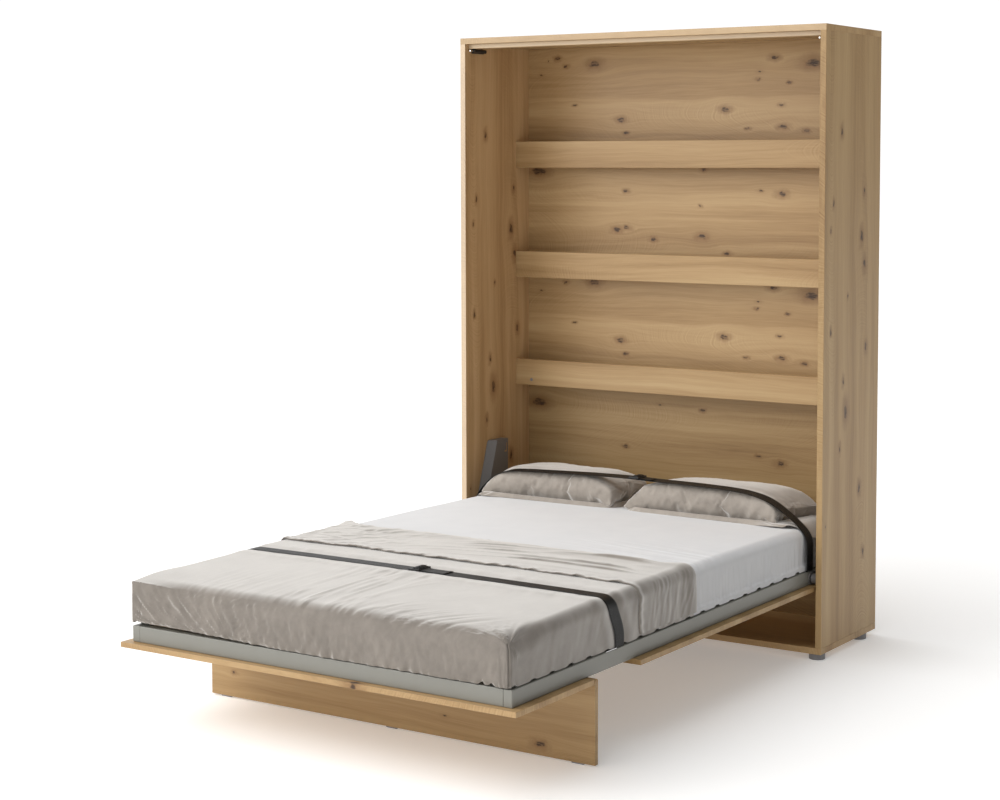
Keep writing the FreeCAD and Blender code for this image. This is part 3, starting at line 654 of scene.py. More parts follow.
# The mattress, in its own stitched cover.
core_low, core_high = MATTRESS_LOW + (0.0025, 0.003, 0.0003), MATTRESS_HIGH - (0.0025, 0.003, 0.0105)
xs, ys = (
    finer_ends(core_low[n], core_low[n] + 0.06, core_high[n] - 0.06, core_high[n], 0.01, coarse)
    for n, coarse in ((0, 0.03), (1, 0.02))
)
points, quads = shell(xs, ys, spaced((core_low[2], core_high[2], 0.01)), (TOP, BOTTOM, FOOT, HEAD, LEFT, RIGHT))
placed, normal = bedding(points, core_low, core_high, *CORE_EDGE)
placed = softer_foot(placed, points, core_low, core_high)
middle = (core_low[2] + core_high[2]) / 2
piping = bell(np.abs(placed[:, 2] - middle) - 0.052, 0.006) * (np.abs(normal[:, 2]) < 0.7)
placed += normal * (0.0012 * piping)[:, None]
mattress = piece("mattress_core", placed, quads, "white_sheet", "mattress", finish=TICKING)

# The fitted sheet: drawn tight over the top, gathered down the sides by its elastic.
sheet_low, sheet_high = MATTRESS_LOW.copy(), np.append(MATTRESS_HIGH[:2], TOP_EDGE)
sheet_open = (*sheet_low[:2], -UNBOUNDED), sheet_high
xs = finer_ends(sheet_low[0], -0.62, 0.62, sheet_high[0], 0.007, 0.014)
ys = spaced((sheet_low[1], -1.05, 0.007), (-1.05, -0.16, 0.016), (-0.16, 0.8, 0.0042), (0.8, sheet_high[1], 0.007))
zs = spaced((HEM_LOW, 0.33, 0.004), (0.33, sheet_high[2], 0.0075))
points, quads = shell(xs, ys, zs, (TOP, FOOT, HEAD, LEFT, RIGHT))
placed, normal = bedding(points, *sheet_open, *SHEET_EDGE)
placed = softer_foot(placed, points, *sheet_open)
x, y, z = placed.T   # views, which follow each change in place
along = run_of(placed, normal)
upright = 1.0 - smooth(0.45, 0.85, normal[:, 2])
depth = smooth(TOP_EDGE - 0.02, sheet_low[2] + 0.03, z)
gather = 0.6 * soft_folds(z / 0.11, along / 0.011, 31)
gather += 0.4 * soft_folds(z / 0.16, along / 0.021, 33)
ease = 0.0007 * lumps(35, *(placed * (5.0, 7.0, 5.0)).T) * (1.0 - upright)
near_fold = bell(y - FOLD_HIGH[1] - 0.1, 0.14) * (1.0 - upright) * smooth(-0.1, 0.5, x)
ease += 0.0024 * near_fold * creases(x / 0.35, (y + 0.15 * x) / 0.035, 37)
# Beyond the bedspread its hem comes out over the end caps; elsewhere it stops at the mattress's underside.
bare = smooth(COVER_HIGH[1] - 0.03, COVER_HIGH[1] + 0.005, y) * (np.abs(normal[:, 0]) > 0.7)
flare = bare * smooth(MATTRESS_LOW[2] + 0.022, MATTRESS_LOW[2] + 0.002, z)
gathered = upright * (0.0004 + 0.0046 * gather * (0.35 + 0.65 * depth) * (1.0 - flare))
placed += normal * (gathered + 0.0062 * flare + ease)[:, None]
hem_z = HEM_LOW + 0.0065 * between_caps(y) * (0.8 + 0.4 * jitter(39, y / 0.05))
hem_z = hem_z * bare + (MATTRESS_LOW[2] + 0.0005) * (1.0 - bare)
z += (hem_z - HEM_LOW) * smooth(HEM_LOW + 0.03, HEM_LOW, z)
sheet = piece("fitted_sheet", placed, quads, "white_sheet", thickness=SHEET_CLOTH)


def puckers(points, normal, hem_z, size, seed):
    """Small gathers along a hem at the bottom of the sides and the foot."""
    near = smooth(hem_z + 0.035, hem_z, points[:, 2])
    return size * near * soft_folds(points[:, 2] / 0.05, run_of(points, normal) / 0.013, seed)


# The bedspread, tucked in round the foot, with a seam down each upright corner.
spread_low = np.array([COVER_LOW[0] - 0.007, COVER_LOW[1] - 0.0072, HEM_LOW])
spread_high = np.array([COVER_HIGH[0] + 0.002, COVER_HIGH[1], TOP_EDGE + 0.0045])
xs = finer_ends(spread_low[0], -0.655, 0.655, spread_high[0], 0.003, 0.0075)
ys = spaced((spread_low[1], -1.09, 0.003), (-1.09, spread_high[1] - 0.004, 0.0075))
zs = spaced((spread_low[2], spread_high[2], 0.006))
points, quads = shell(xs, ys, zs, (TOP, FOOT, LEFT, RIGHT))
spread_open = (*spread_low[:2], -UNBOUNDED), (spread_high[0], UNBOUNDED, spread_high[2])
placed, normal = bedding(points, *spread_open, EDGE, SQUARE)
# The left foot corner is drawn to a point, and the right one slopes down softly to its seam.
from_foot = points[:, 1] - spread_low[1]
from_right = np.hypot(points[:, 0] - spread_high[0], from_foot)
pointed = smooth(0.26, 0.01, points[:, 0] - spread_low[0]) * smooth(0.3, 0.1, from_foot)
for radius, share in ((0.054, smooth(0.2, 0.06, from_foot)), (0.06, bell(from_right, 0.15)), (0.006, pointed)):
    placed = blended(placed, bedding(points, *spread_open, radius, SQUARE)[0], share)
x, y, z = placed.T.copy()
flat = smooth(0.55, 0.9, normal[:, 2])
facing_foot = smooth(0.5, 0.9, -normal[:, 1])
facing_side = smooth(0.5, 0.9, np.abs(normal[:, 0]))
height = 0.001 * lumps(3, *(placed * (6.0, 7.0, 6.0)).T)
# Tension lines from the buckle to the foot edge, which sweep round to the left of the right corner.
sweep = x - 0.9 * smooth(0.02, 0.55, x) * (y - spread_low[1])
lines = creases(y / 0.3, sweep / 0.022, 11, 1.5)
tight = bell(x + 0.03, 0.15) * smooth(-0.6, -0.7, y)
tight = np.maximum(tight, 0.8 * smooth(-0.93, -1.05, y) * smooth(-0.02, 0.12, x) * smooth(0.66, 0.45, x))
tight = np.maximum(tight, 0.35 * bell(x + 0.36, 0.16) * smooth(-0.75, -1.0, y))
height += 0.0032 * flat * tight * lines
by_strap = bell(np.abs(y - STRAP_Y) - 0.06, 0.045) * flat
height += 0.0016 * by_strap * soft_folds(y / 0.07, (x + 0.4 * y) / 0.035, 15)
height += 0.0022 * flat * smooth(-0.42, -0.3, y) * creases(y / 0.12, (x - 0.5 * y) / 0.04, 16, 1.5)
# The foot face: folds that lean from the left corner, curve over and hang upright further right.
drop = np.maximum(spread_high[2] - z, 0.0)
lean = 0.1 + 0.95 * smooth(0.02, -0.62, x)
slant = x - lean * drop * (0.55 + 4.0 * drop)
off_corner = smooth(0.0, 0.035, x - spread_low[0])
left = smooth(0.3, -0.45, x) * off_corner
height += facing_foot * 0.0046 * (creases(z / 0.16, slant / 0.0135, 17, 1.1) - 0.6) * left
fine = creases(z / 0.1, slant / 0.0095, 19, 1.1) - 0.6
height += facing_foot * 0.0032 * off_corner * fine * (0.25 + 0.75 * smooth(0.02, 0.11, drop))
# The sides: shallow pleats.
pleats = soft_folds(z / 0.13, (y + 0.3 * drop) / 0.034, 21)
height += facing_side * (0.0007 + 0.001 * smooth(-0.55, -0.4, y)) * pleats
hem_puckers = puckers(placed, normal, spread_low[2], 0.0034, 23)
height += hem_puckers * (0.15 + 0.85 * facing_foot) * smooth(0.0, 0.06, x - spread_low[0])
# Creases that fan out from the top of the right foot corner's seam.
dx, dy = x - (spread_high[0] - 0.012), y - (spread_low[1] + 0.012)
from_corner, swirl = np.hypot(dx, dy), np.arctan2(dy, dx)
high_up = smooth(spread_high[2] - 0.085, spread_high[2] - 0.03, z)
height += 0.0046 * high_up * bell(from_corner - 0.07, 0.06) * creases(from_corner * 4.0, swirl * 7.0, 25, 1.4)
# The seam down each foot corner.
inner = np.clip(points[:, :2], spread_low[:2] + EDGE, (spread_high[0] - EDGE, UNBOUNDED))
out_x, out_y = np.abs(points[:, :2] - inner).T
seam = bell(out_x - out_y, 0.0028) * (np.minimum(out_x, out_y) > 0.015)
height -= 0.0075 * seam * smooth(spread_high[2] + 0.002, spread_high[2] - 0.012, points[:, 2])
placed += normal * height[:, None]
low_down = smooth(spread_low[2] + 0.03, spread_low[2], z)
lift = 0.006 * between_caps(y) * (1.0 - facing_foot) * (0.8 + 0.4 * jitter(28, y / 0.05))
foot_lift = 0.01 * smooth(-0.04, -0.58, x) + 0.003 * smooth(-0.645, -0.69, x)
lift += facing_foot * (foot_lift + 0.0006 * (1.0 + jitter(27, x / 0.022)))
for notch in (0.6, 0.632):
    lift += 0.01 * facing_foot * bell(x - notch, 0.007)
placed[:, 2] += low_down * lift
tucked = smooth(spread_low[2] + 0.008, spread_low[2], z) * facing_foot
placed -= normal * (0.003 * tucked)[:, None]
over_caps = (placed[:, 2] < CAPS_HIGH[2] + 0.004) & (facing_side > 0.5)
clear = np.sign(x) * np.maximum(np.abs(placed[:, 0]), CAPS_HIGH[0] + 0.0032)
placed[:, 0] = np.where(over_caps, clear, placed[:, 0])
clear_batten(placed)
spread = piece("bedspread", placed, quads, "taupe_fabric", "bed_cover", thickness=FABRIC)

# The bedspread's end, turned back over itself: a rolled fold at its rear, a puckered hem at its front.
turn_low = np.array([FOLD_LOW[0] + 0.0005, FOLD_LOW[1] - 0.006, FOLD_LOW[2]])
turn_high = np.array([FOLD_HIGH[0] - 0.0005, FOLD_HIGH[1], TOP_EDGE + 0.0085])
ROLL_STEPS, HEM_STEPS = 9, 5
turn_width = turn_high[1] - turn_low[1]
rows = round(turn_width / 0.006)
xs = finer_ends(turn_low[0], -0.65, 0.65, turn_high[0], 0.004, 0.0075)
zs = spaced((turn_low[2], turn_high[2], 0.006))
ys = np.arange(-HEM_STEPS, rows + ROLL_STEPS + 1, dtype=float)
points, quads = shell(xs, ys, zs, (TOP, LEFT, RIGHT))
row = points[:, 1].copy()
points[:, 1] = turn_low[1] + np.clip(row, 0, rows) / rows * turn_width
turn_open = (turn_low[0], -UNBOUNDED, -UNBOUNDED), (turn_high[0], UNBOUNDED, turn_high[2])
placed, normal = bedding(points, *turn_open, TURN_EDGE)
x, y, z = placed.T.copy()
flat = smooth(0.55, 0.9, normal[:, 2])
side = 1.0 - flat
share = np.clip(row / rows, 0.0, 1.0)
around = np.where(np.abs(normal[:, 0]) > 0.7, np.sign(x) * (0.69 + turn_high[2] - z), x)
# Along the bed: the front hem is straight but puckered, and the rear fold bows towards the foot on top.
crest_shift = -0.045 * flat * smooth(0.69, 0.58, np.abs(x)) - 0.006 * lumps(41, around / 0.16)
hem_shift = 0.004 * lumps(43, around / 0.07) - 0.006 * smooth(-0.3, -0.69, x)
placed[:, 1] += crest_shift * share**1.5 + hem_shift * (1.0 - share) ** 2
y = placed[:, 1].copy()
from_hem = share * turn_width
raised = 0.005 * bell(from_hem - turn_width + 0.012, 0.04) + 0.003 * bell(from_hem - 0.006, 0.012)
# Long folds that run across the bed and gather towards its right side.
gatherness = smooth(-0.75, 0.55, x)
slope = y + 0.1 * x - 0.1 * gatherness * x
folds = soft_folds(around / 0.42, slope / 0.055, 45)
ridges = creases(around / 0.4, (y - 0.2 * x + 0.24 * x * x) / 0.048, 47, 1.7)
patch = smooth(-0.25, 0.45, lumps(46, x / 0.24, y / 0.11))
ridges = 0.009 * ridges * (0.35 + 0.65 * patch) * smooth(0.08, 0.4, share)
raised += flat * (0.0012 * folds + ridges * smooth(0.66, 0.5, x) * (0.15 + 0.85 * gatherness))
raised += flat * 0.003 * creases((x + y) / 0.1, (x - 1.2 * y) / 0.035, 48, 1.6) * smooth(-0.1, -0.5, x)
side_creases = creases(z / 0.15, (y + 0.35 * (turn_high[2] - z)) / 0.022, 49, 1.4)
raised += side * 0.0011 * side_creases * smooth(0.0, 0.3, share)
raised += side * 0.0006 * soft_folds(z / 0.1, y / 0.016, 51)
pucker = lumps(53, around / 0.028) + 0.6 * lumps(54, around / 0.013)
raised += 0.0024 * pucker * bell(from_hem - 0.008, 0.022)
raised = np.maximum(raised, -0.001) + 0.0012
roll = np.clip(row - rows, 0, ROLL_STEPS) / ROLL_STEPS * math.pi
tuck = np.clip(-row, 0, HEM_STEPS) / HEM_STEPS * math.pi
roll_radius = 0.0052 + 0.0012 * lumps(55, around / 0.09)
hem_radius = 0.0024
placed[:, 1] += roll_radius * np.sin(roll) - hem_radius * np.sin(tuck)
raised -= roll_radius * (1.0 - np.cos(roll)) + hem_radius * (1.0 - np.cos(tuck))
placed += normal * raised[:, None]
turned = piece("bedspread_turnback", placed, quads, "taupe_fabric", "cover_fold", thickness=FABRIC)


# ---- pillows

# The pillow strap's route, as (distance from the middle, height).
STRAP_OVER_LEFT = (
    (0.0, 0.57), (0.2, 0.567), (0.345, 0.5615), (0.49, 0.5565), (0.56, 0.55), (0.61, 0.528), (0.65, 0.492),
    (0.68, 0.458), (0.695, 0.425),
)
STRAP_OVER_RIGHT = (
    (0.0, 0.57), (0.08, 0.567), (0.2, 0.5668), (0.31, 0.5655), (0.42, 0.562), (0.5, 0.551), (0.56, 0.531),
    (0.62, 0.493), (0.66, 0.463), (0.685, 0.438), (0.695, 0.42),
)


def strap_height(x):
    """The pillow strap's underside over the bed, as a height at each x."""
    left, right = (np.interp(np.abs(x), *np.array(line).T) for line in (STRAP_OVER_LEFT, STRAP_OVER_RIGHT))
    return np.where(x < 0.0, left, right)


PILLOW_Y = sum(corners_of("pillow_strap"))[1] / 2
STRAP_TILT = 0.1         # how much the pillow strap's front edge dips
PILLOW_SIDE = 0.697      # how far out a pillow may reach
PILLOW_REAR = FRONT_Y + 0.254   # how far back
CLOTH_STEPS, SWELL_CAP = 20, 0.026
CLOTH = {
    "quality": 5, "mass": 0.25, "tension_stiffness": 12.0, "compression_stiffness": 12.0, "shear_stiffness": 8.0,
    "bending_stiffness": 0.35, "use_pressure": True, "uniform_pressure_force": 4.0, "shrink_min": -0.035,
}


def swell(made):
    """Runs the cloth simulation on a closed mesh: it fills with air, and no point moves further than the cap."""
    configure(made.modifiers.new("remesh", "REMESH"), mode="VOXEL", voxel_size=0.006)
    graph = bpy.context.evaluated_depsgraph_get()
    even = bpy.data.meshes.new_from_object(made.evaluated_get(graph))
    made.modifiers.clear()
    made.data = even
    count = len(even.vertices)
    start = np.zeros(count * 3)
    even.vertices.foreach_get("co", start)
    cloth = made.modifiers.new("cloth", "CLOTH")
    configure(cloth.settings, **CLOTH).effector_weights.gravity = 0.0
    cloth.collision_settings.use_collision = False
    for step in range(1, CLOTH_STEPS + 1):
        SCENE.frame_set(step)
    graph = bpy.context.evaluated_depsgraph_get()
    end = np.zeros(count * 3)
    made.evaluated_get(graph).data.vertices.foreach_get("co", end)
    made.modifiers.clear()
    SCENE.frame_set(1)
    start, end = start.reshape(-1, 3), end.reshape(-1, 3)
    move = end - start
    return start + move * np.minimum(1.0, SWELL_CAP / lengths(move)), [tuple(f.vertices) for f in even.polygons]


PILLOWS = {
    # pillow: middle's shift to the right, half its length, lean of its rear and of its top to the right
    "pillow_left": (0.026, 0.288, 0.014, 0.032),
    "pillow_right": (0.01, 0.306, 0.03, 0.034),
}


def pillow(name):
    """A feather pillow laced down by the strap: its first shape, and that shape filled with air."""
    shift, half_x, lean_rear, lean_top = PILLOWS[name]
    low, high = corners_of(name)
    centre = np.array([(low[0] + high[0]) / 2 + shift, (low[1] + high[1]) / 2 + 0.004, SHEET_TOP])
    half = np.array([half_x, (high[1] - low[1]) / 2 - 0.022, 0.098])
    grid = np.linspace(-1.0, 1.0, 25)
    points, quads = shell(grid, grid, np.linspace(0.0, 1.0, 9), (TOP, BOTTOM, FOOT, HEAD, LEFT, RIGHT))
    u, v, t = points.T
    # Its ends slope in to the top, its front and rear bulge, and its bottom corners stay long.
    corner = np.abs(u * v) ** 3
    shape = np.stack([
        u * half[0] * (1.0 - 0.15 * t) * (1.0 - 0.03 * (1.0 - v * v)) + lean_rear * v + lean_top * t,
        v * half[1] * (1.0 - 0.14 * t) * (1.0 - 0.04 * (1.0 - u * u)),
        t * half[2] * (1.0 - 0.1 * u**4 - 0.08 * corner) + 0.006,
    ], 1)
    made = piece(name + "_cushion", shape + centre, quads, "taupe_fabric", name, finish=PILLOWCASE)
    placed, faces = swell(made)
    return made, placed, faces, centre, half


def outward(points, faces):
    """Vertex normals of a closed mesh."""
    corners = np.array([f[:3] for f in faces])
    a, b, c = (points[corners[:, n]] for n in range(3))
    face = np.cross(b - a, c - a)
    normal = np.zeros_like(points)
    for n in range(len(faces[0])):
        np.add.at(normal, np.array([f[n] for f in faces]), face)
    return normal / lengths(normal, 1e-12)


def finish_pillow(name, seed):
    """The filled pillow with its creases, the channel that the strap presses, and the flat rim of its case."""
    made, placed, faces, centre, half = pillow(name)
    side, lean_rear = (-1 if name == "pillow_left" else 1), PILLOWS[name][2]
    normal = outward(placed, faces)
    x, y, z = placed.T
    v = np.clip((y - centre[1]) / half[1], -1.0, 1.0)
    u = (x - centre[0] - lean_rear * v) / half[0]
    front = smooth(0.3, 0.9, -normal[:, 1])
    ends = smooth(0.5, 0.95, np.abs(normal[:, 0]))
    height = 0.0022 * lumps(seed, *(placed * (11.0, 14.0, 14.0)).T)
    rise = (z - SHEET_TOP) / 0.1
    slanted = x - 0.045 * rise
    height += front * 0.0026 * soft_folds(z / 0.06, slanted / 0.026, seed + 2)
    height += front * 0.0016 * soft_folds((z + 0.5 * x) / 0.026, (x - 0.5 * z) / 0.014, seed + 3)
    height += ends * 0.004 * creases(y / 0.16, (z + 0.35 * y) / 0.03, seed + 4, 1.2)
    height += smooth(0.5, 0.9, normal[:, 2]) * 0.0024 * creases(y / 0.12, (x + 0.3 * y) / 0.06, seed + 5)
    placed = placed + normal * height[:, None]
    # Laced down, its top is nearly flat and falls away towards its ends, and the strap presses a channel across it.
    x, y, z = placed.T
    crown = 0.5575 - 0.05 * np.clip(np.abs(u), 0.0, 1.0) ** 4 + 0.0035 * lumps(seed + 8, x * 7.0, y * 9.0)
    if side > 0:
        crown -= 0.022 * smooth(0.7, 1.1, u)
    z = np.where(z > crown - 0.01, crown - 0.01 + 0.022 * np.tanh((z - crown + 0.01) / 0.022), z)
    under = smooth(0.06, 0.024, np.abs(y - PILLOW_Y))
    pressed = np.minimum(z, strap_height(x) - 0.0012 + STRAP_TILT * np.clip(y - PILLOW_Y, -0.03, 0.03))
    behind = smooth(0.03, 0.09, y - PILLOW_Y) * smooth(centre[2] + 0.04, centre[2] + 0.09, z)
    placed[:, 2] = np.maximum(z * (1.0 - under) + pressed * under + 0.003 * behind, SHEET_TOP + 0.001)
    placed[:, 0] = np.clip(placed[:, 0], -PILLOW_SIDE, PILLOW_SIDE)
    placed[:, 1] = np.minimum(placed[:, 1], PILLOW_REAR)
    # The flat rim of the case that the pillow stands on, widest at its open end.
    steps, rows_out = 300, 9
    turn = np.linspace(0.0, 2.0 * math.pi, steps, endpoint=False)
    round_x, round_y = (np.sign(f(turn)) * np.abs(f(turn)) ** 0.3 for f in (np.cos, np.sin))
    open_end = smooth(0.55, 0.98, round_x * side)
    front_tip = open_end * smooth(-0.75, -1.0, round_y)
    flange = []
    for row_n in range(rows_out):
        share = row_n / (rows_out - 1)
        reach = 0.002 + 0.011 * share
        end_reach = reach + open_end * share * (0.09 if side > 0 else 0.03)
        rim_x = centre[0] + round_x * (half[0] * 0.985 + end_reach) + lean_rear * round_y
        rim_y = centre[1] + round_y * (half[1] * 0.965 + reach) - 0.03 * front_tip * share
        wave = lumps(seed + 6, np.cos(turn) * 9.0, np.sin(turn) * 9.0, row_n * 0.2)
        rim_z = SHEET_TOP + 0.017 - 0.015 * share ** (0.6 if side > 0 else 1.0)
        rim_z = rim_z + (0.0028 + 0.005 * open_end) * (wave + open_end) * share
        rim_x = np.clip(rim_x, -PILLOW_SIDE - 0.0015, PILLOW_SIDE + 0.0015)
        rim_z -= 5.0 * np.maximum(np.abs(rim_x) - 0.65, 0.0) ** 1.5
        flange.append(np.stack([rim_x, np.minimum(rim_y, PILLOW_REAR + 0.0005), rim_z], 1))
    top = np.concatenate(flange)
    rim = np.concatenate([top, top - (0.0, 0.0, FABRIC)])
    base, count = len(placed), rows_out * steps
    rim_faces = []
    for row_n, step in product(range(rows_out - 1), range(steps)):
        a, b = row_n * steps + step, row_n * steps + (step + 1) % steps
        c, d = b + steps, a + steps
        rim_faces += [(a, d, c, b), (count + a, count + b, count + c, count + d)]
    for step in range(steps):
        for start, flip in ((0, True), ((rows_out - 1) * steps, False)):
            a, b = start + step, start + (step + 1) % steps
            quad = (a, b, count + b, count + a)
            rim_faces.append(quad if flip else quad[::-1])
    faces = list(faces) + [tuple(base + n for n in f) for f in rim_faces]
    made.data = mesh_of(name + "_cushion", np.concatenate([placed, rim]), faces, PILLOWCASE)
    configure(made.modifiers.new("smoothing", "SUBSURF"), levels=1, render_levels=1)


for name, seed in (("pillow_left", 61), ("pillow_right", 81)):
    finish_pillow(name, seed)


# ---- straps

def ribbon(path, across, normal, width, thickness):
    """A flat strap along a path: points, the direction across it and its outward normal at each."""
    ring = [(n / 8 - 0.5, 0.5) for n in range(9)]
    ring = [(a * width, (b - 0.35 * (abs(a) > 0.49)) * thickness) for a, b in ring]
    ring += [(a, -b) for a, b in ring[::-1]]
    points = [p + c * a + n * b for p, c, n in zip(path, across, normal) for a, b in ring]
    size, quads = len(ring), []
    for station, n in product(range(len(path) - 1), range(size)):
        a, b = station * size + n, station * size + (n + 1) % size
        quads.append((a, b, b + size, a + size))
    quads.append(tuple(range(size))[::-1])
    quads.append(tuple((len(path) - 1) * size + n for n in range(size)))
    return np.array(points), quads


def resampled(points, step):
    """Points at an even step along a line of points, eased round its corners."""
    points = np.asarray(points, float)
    for _ in range(3):
        cut = [points[0]]
        for a, b in zip(points[:-1], points[1:]):
            cut += [0.75 * a + 0.25 * b, 0.25 * a + 0.75 * b]
        points = np.array([*cut, points[-1]])
    run = np.append(0.0, np.cumsum(np.linalg.norm(np.diff(points, axis=0), axis=1)))
    at = np.linspace(0.0, run[-1], max(3, round(run[-1] / step)))
    return np.stack([np.interp(at, run, points[:, n]) for n in range(3)], 1)


def frames_along(path, tilt=0.0):
    """The direction across a strap (towards the head) and its outward normal, at each point."""
    tangent = np.gradient(path, axis=0)
    tangent /= lengths(tangent)
    level = smooth(0.66, 0.52, np.abs(path[:, 0]))
    normal = np.cross(tangent, np.outer(level, (0.0, 0.0, tilt)) + (0.0, 1.0, 0.0))
    normal /= lengths(normal)
    return np.cross(normal, tangent), normal


def strap(name, path, node, tilt=0.0):
    points, quads = ribbon(path, *frames_along(path, tilt), STRAP_WIDTH, WEBBING)
    piece(name, points, quads, "strap_webbing", node)


# The foot strap follows the bedspread's own surface.
side_zs = np.linspace(STRAP_LOW[2] - 0.002, spread_high[2], 16)
top_xs = np.linspace(spread_low[0], spread_high[0], 90)
sharp = [(spread_low[0], STRAP_Y, z) for z in side_zs] + [(x, STRAP_Y, spread_high[2]) for x in top_xs[1:-1]]
sharp += [(spread_high[0], STRAP_Y, z) for z in side_zs[::-1]]
placed, normal = bedding(np.array(sharp), *spread_open, EDGE)
placed += normal * 0.0026
placed[:, 1] = strap_line(placed)
foot_path = resampled(placed, STRAP_STEP)
strap("foot_strap_webbing", foot_path, "foot_strap")

# The pillow strap: up each side, over the pillows and straight across the gap.
up_side = ((0.6985, 0.304), (0.699, 0.36), (0.699, 0.4))
line = [(-x, PILLOW_Y, z) for x, z in up_side] + [(-x, PILLOW_Y, z) for x, z in STRAP_OVER_LEFT[::-1]]
line += [(x, PILLOW_Y, z) for x, z in STRAP_OVER_RIGHT[1:]] + [(x, PILLOW_Y, z) for x, z in up_side[::-1]]
pillow_path = resampled(line, STRAP_STEP)
strap("pillow_strap_webbing", pillow_path, "pillow_strap", STRAP_TILT)


# ---- buckles

BLOCK_FACES = (0, 1, 3, 2), (4, 6, 7, 5), (0, 4, 5, 1), (2, 3, 7, 6), (0, 2, 6, 4), (1, 5, 7, 3)


def block(centre, size, tilt):
    """The eight corners of a small box, tilted about y."""
    corners = np.array(list(product((-0.5, 0.5), repeat=3))) * size
    c, s = math.cos(tilt), math.sin(tilt)
    return corners @ np.array([[c, 0, -s], [0, 1, 0], [s, 0, c]]) + centre


def buckle(name, node, path, at_x):
    """A cam buckle: a frame with two cross bars, and a ribbed lever between its cheeks."""
    nearest = path[np.argmin(np.abs(path[:, 0] - at_x))]
    low, high = corners_of(node)
    long, wide = 0.8 * (high[0] - low[0]), high[1] - low[1]
    base = np.array([at_x, nearest[1], nearest[2] + 0.0008])
    parts = [
        # (offset, size, tilt): two cheeks, two cross bars, a middle bar and the lever, then the lever's ribs
        ((0.0, wide / 2 - 0.003, 0.0032), (long, 0.005, 0.0064), 0.0),
        ((0.0, -wide / 2 + 0.003, 0.0032), (long, 0.005, 0.0064), 0.0),
        ((-long / 2 + 0.003, 0.0, 0.003), (0.005, wide - 0.006, 0.0046), 0.0),
        ((long / 2 - 0.003, 0.0, 0.003), (0.005, wide - 0.006, 0.0046), 0.0),
        ((0.002, 0.0, 0.0036), (0.004, wide - 0.006, 0.004), 0.0),
        ((0.004, 0.0, 0.0078), (long * 0.56, wide - 0.015, 0.0028), 0.1),
    ]
    rib = (0.0018, wide - 0.019, 0.0016)
    parts += [((-0.006 + 0.0042 * n, 0.0, 0.0092 + 0.0004 * n), rib, 0.1) for n in range(5)]
    points, quads = [], []
    for offset, size, tilt in parts:
        quads += [tuple(len(points) + n for n in f) for f in BLOCK_FACES]
        points += list(block(base + offset, size, tilt))
    made = piece(name, points, quads, "latch_plastic", node)
    configure(made.modifiers.new("edges", "BEVEL"), width=0.0007, segments=3, limit_method="ANGLE")


buckle("foot_buckle", "foot_strap_buckle", foot_path, 0.004)
buckle("pillow_buckle", "pillow_strap_buckle", pillow_path, 0.01)


def tail(name, path, start_x, end_x):
    """The strap's free end, lying on the strap beyond the buckle and lifting a little at its tip."""
    keep = path[(path[:, 0] > min(start_x, end_x)) & (path[:, 0] < max(start_x, end_x))].copy()
    share = np.abs(keep[:, 0] - start_x) / abs(end_x - start_x)
    keep[:, 2] += 0.0018 + 0.0024 * bell(share, 0.2) + 0.001 * smooth(0.7, 1.0, share)
    points, quads = ribbon(keep, *frames_along(keep), STRAP_WIDTH - 0.003, 0.0015)
    piece(name, points, quads, "strap_webbing")


tail("foot_strap_tail", foot_path, 0.01, 0.12)
tail("pillow_strap_tail", pillow_path, 0.012, 0.085)


# ---- stage, light and camera

def pale_floor(t, point):
    return (t.mix(t.cloud(point, 3.0), (0.96, 0.96, 0.96), (0.98, 0.98, 0.98)),)


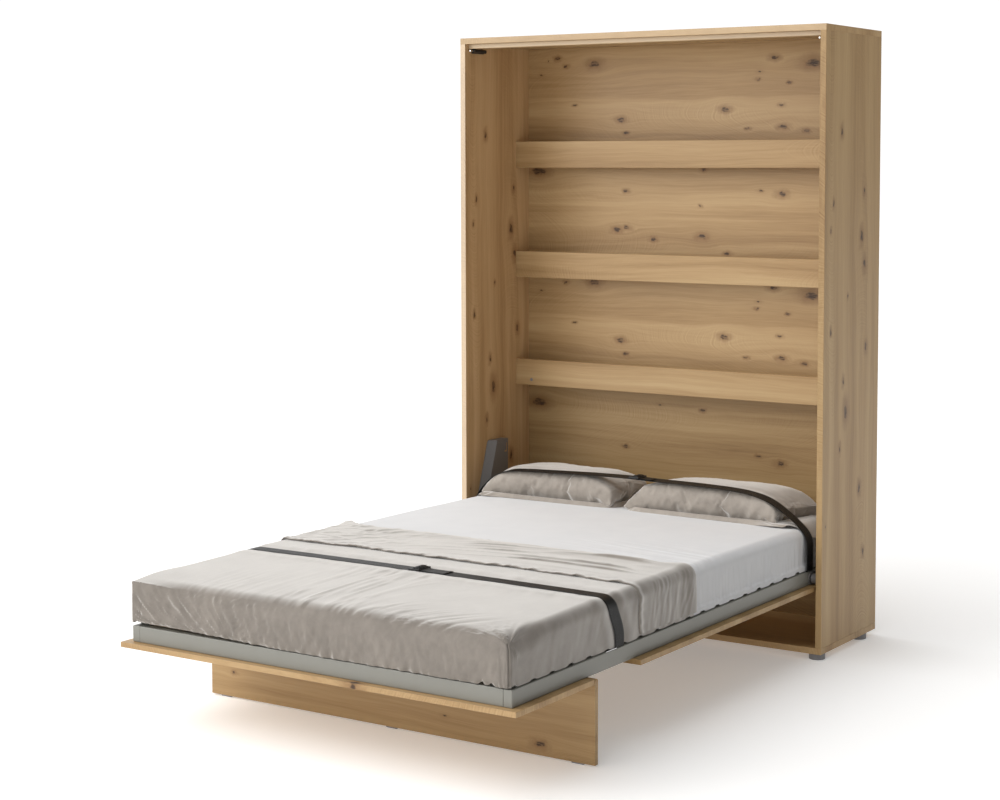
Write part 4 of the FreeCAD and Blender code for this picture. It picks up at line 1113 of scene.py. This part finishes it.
FLOOR_REACH = 60.0
FLOOR_LOOK = {"Roughness": 0.8, "Specular_IOR_Level": 0.1}
FLOOR_GLOW = {"Emission_Color": (1.0, 1.0, 1.0, 1.0), "Emission_Strength": 0.23}
square = [(x * FLOOR_REACH, y * FLOOR_REACH, 0) for x, y in ((-1, -1), (1, -1), (1, 1), (-1, 1))]
pale = material("studio_floor", pale_floor, **FLOOR_LOOK, **FLOOR_GLOW)
floor = added("studio_floor", mesh_of("studio_floor", square, [(0, 1, 2, 3)], pale))
floor.location.z = -0.0005
floor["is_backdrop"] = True

world = bpy.data.worlds.new("studio")
world.use_nodes = True
world.node_tree.nodes.clear()
t = Nodes(world.node_tree)
# Fill light from soft walls round the object, brightest on its left: (direction, strength).
WALLS = (((-1, 0, 0), 1.64), ((0, -1, 0), 0.58), ((0, 0, 1), 0.15), ((1, 0, 0), 0.03), ((0, 1, 0), 0.08))
toward = t.add("TexCoord").outputs["Generated"]
glow = 0.05
for direction, strength in WALLS:
    facing = t.calc("MAXIMUM", t.vector("DOT_PRODUCT", toward, direction), 0.0)
    glow = t.mad(facing, strength, glow)
fill = t.add("Background", {"Color": (1.0, 0.995, 0.985, 1.0), "Strength": glow})
backdrop = t.add("Background", {"Color": (1.0, 1.0, 1.0, 1.0), "Strength": 1.05})
seen = t.add("LightPath").outputs["Is Camera Ray"]
both = t.add("MixShader", {0: seen, 1: fill.outputs[0], 2: backdrop.outputs[0]})
t.add("OutputWorld", {0: both.outputs[0]})
SCENE.world = world
SCENE.view_settings.view_transform = "Standard"


def lamp(name, kind, location, target, **settings):
    made = added(name, configure(bpy.data.lights.new(name, kind), **settings))
    made.location = location
    made.rotation_euler = (Vector(target) - Vector(location)).to_track_quat("-Z", "Y").to_euler()


softbox = {"shape": "RECTANGLE", "size": 3.0, "size_y": 3.0, "energy": 108.0, "color": (1.0, 0.985, 0.96)}
lamp("key_front_left", "AREA", (-3.6, -4.8, 3.4), (0.0, 0.4, 0.9), **softbox)
lamp("overhead", "SUN", (0.0, 0.0, 0.0), (0.45, 0.75, -1.6), energy=1.06, angle=1.1)

LENS = {"sensor_width": 36.0, "lens": 70.94, "shift_x": -0.059, "shift_y": -0.1, "clip_start": 0.1, "clip_end": 100.0}
eye = added("camera", configure(bpy.data.cameras.new("camera"), **LENS))
eye.location = (3.5863, -5.4265, 1.7047)
yaw, pitch = math.radians(32.525), math.radians(3.927)
eye.rotation_euler = (math.pi / 2 - pitch, 0.0, yaw)
SCENE.camera = eye

low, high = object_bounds()
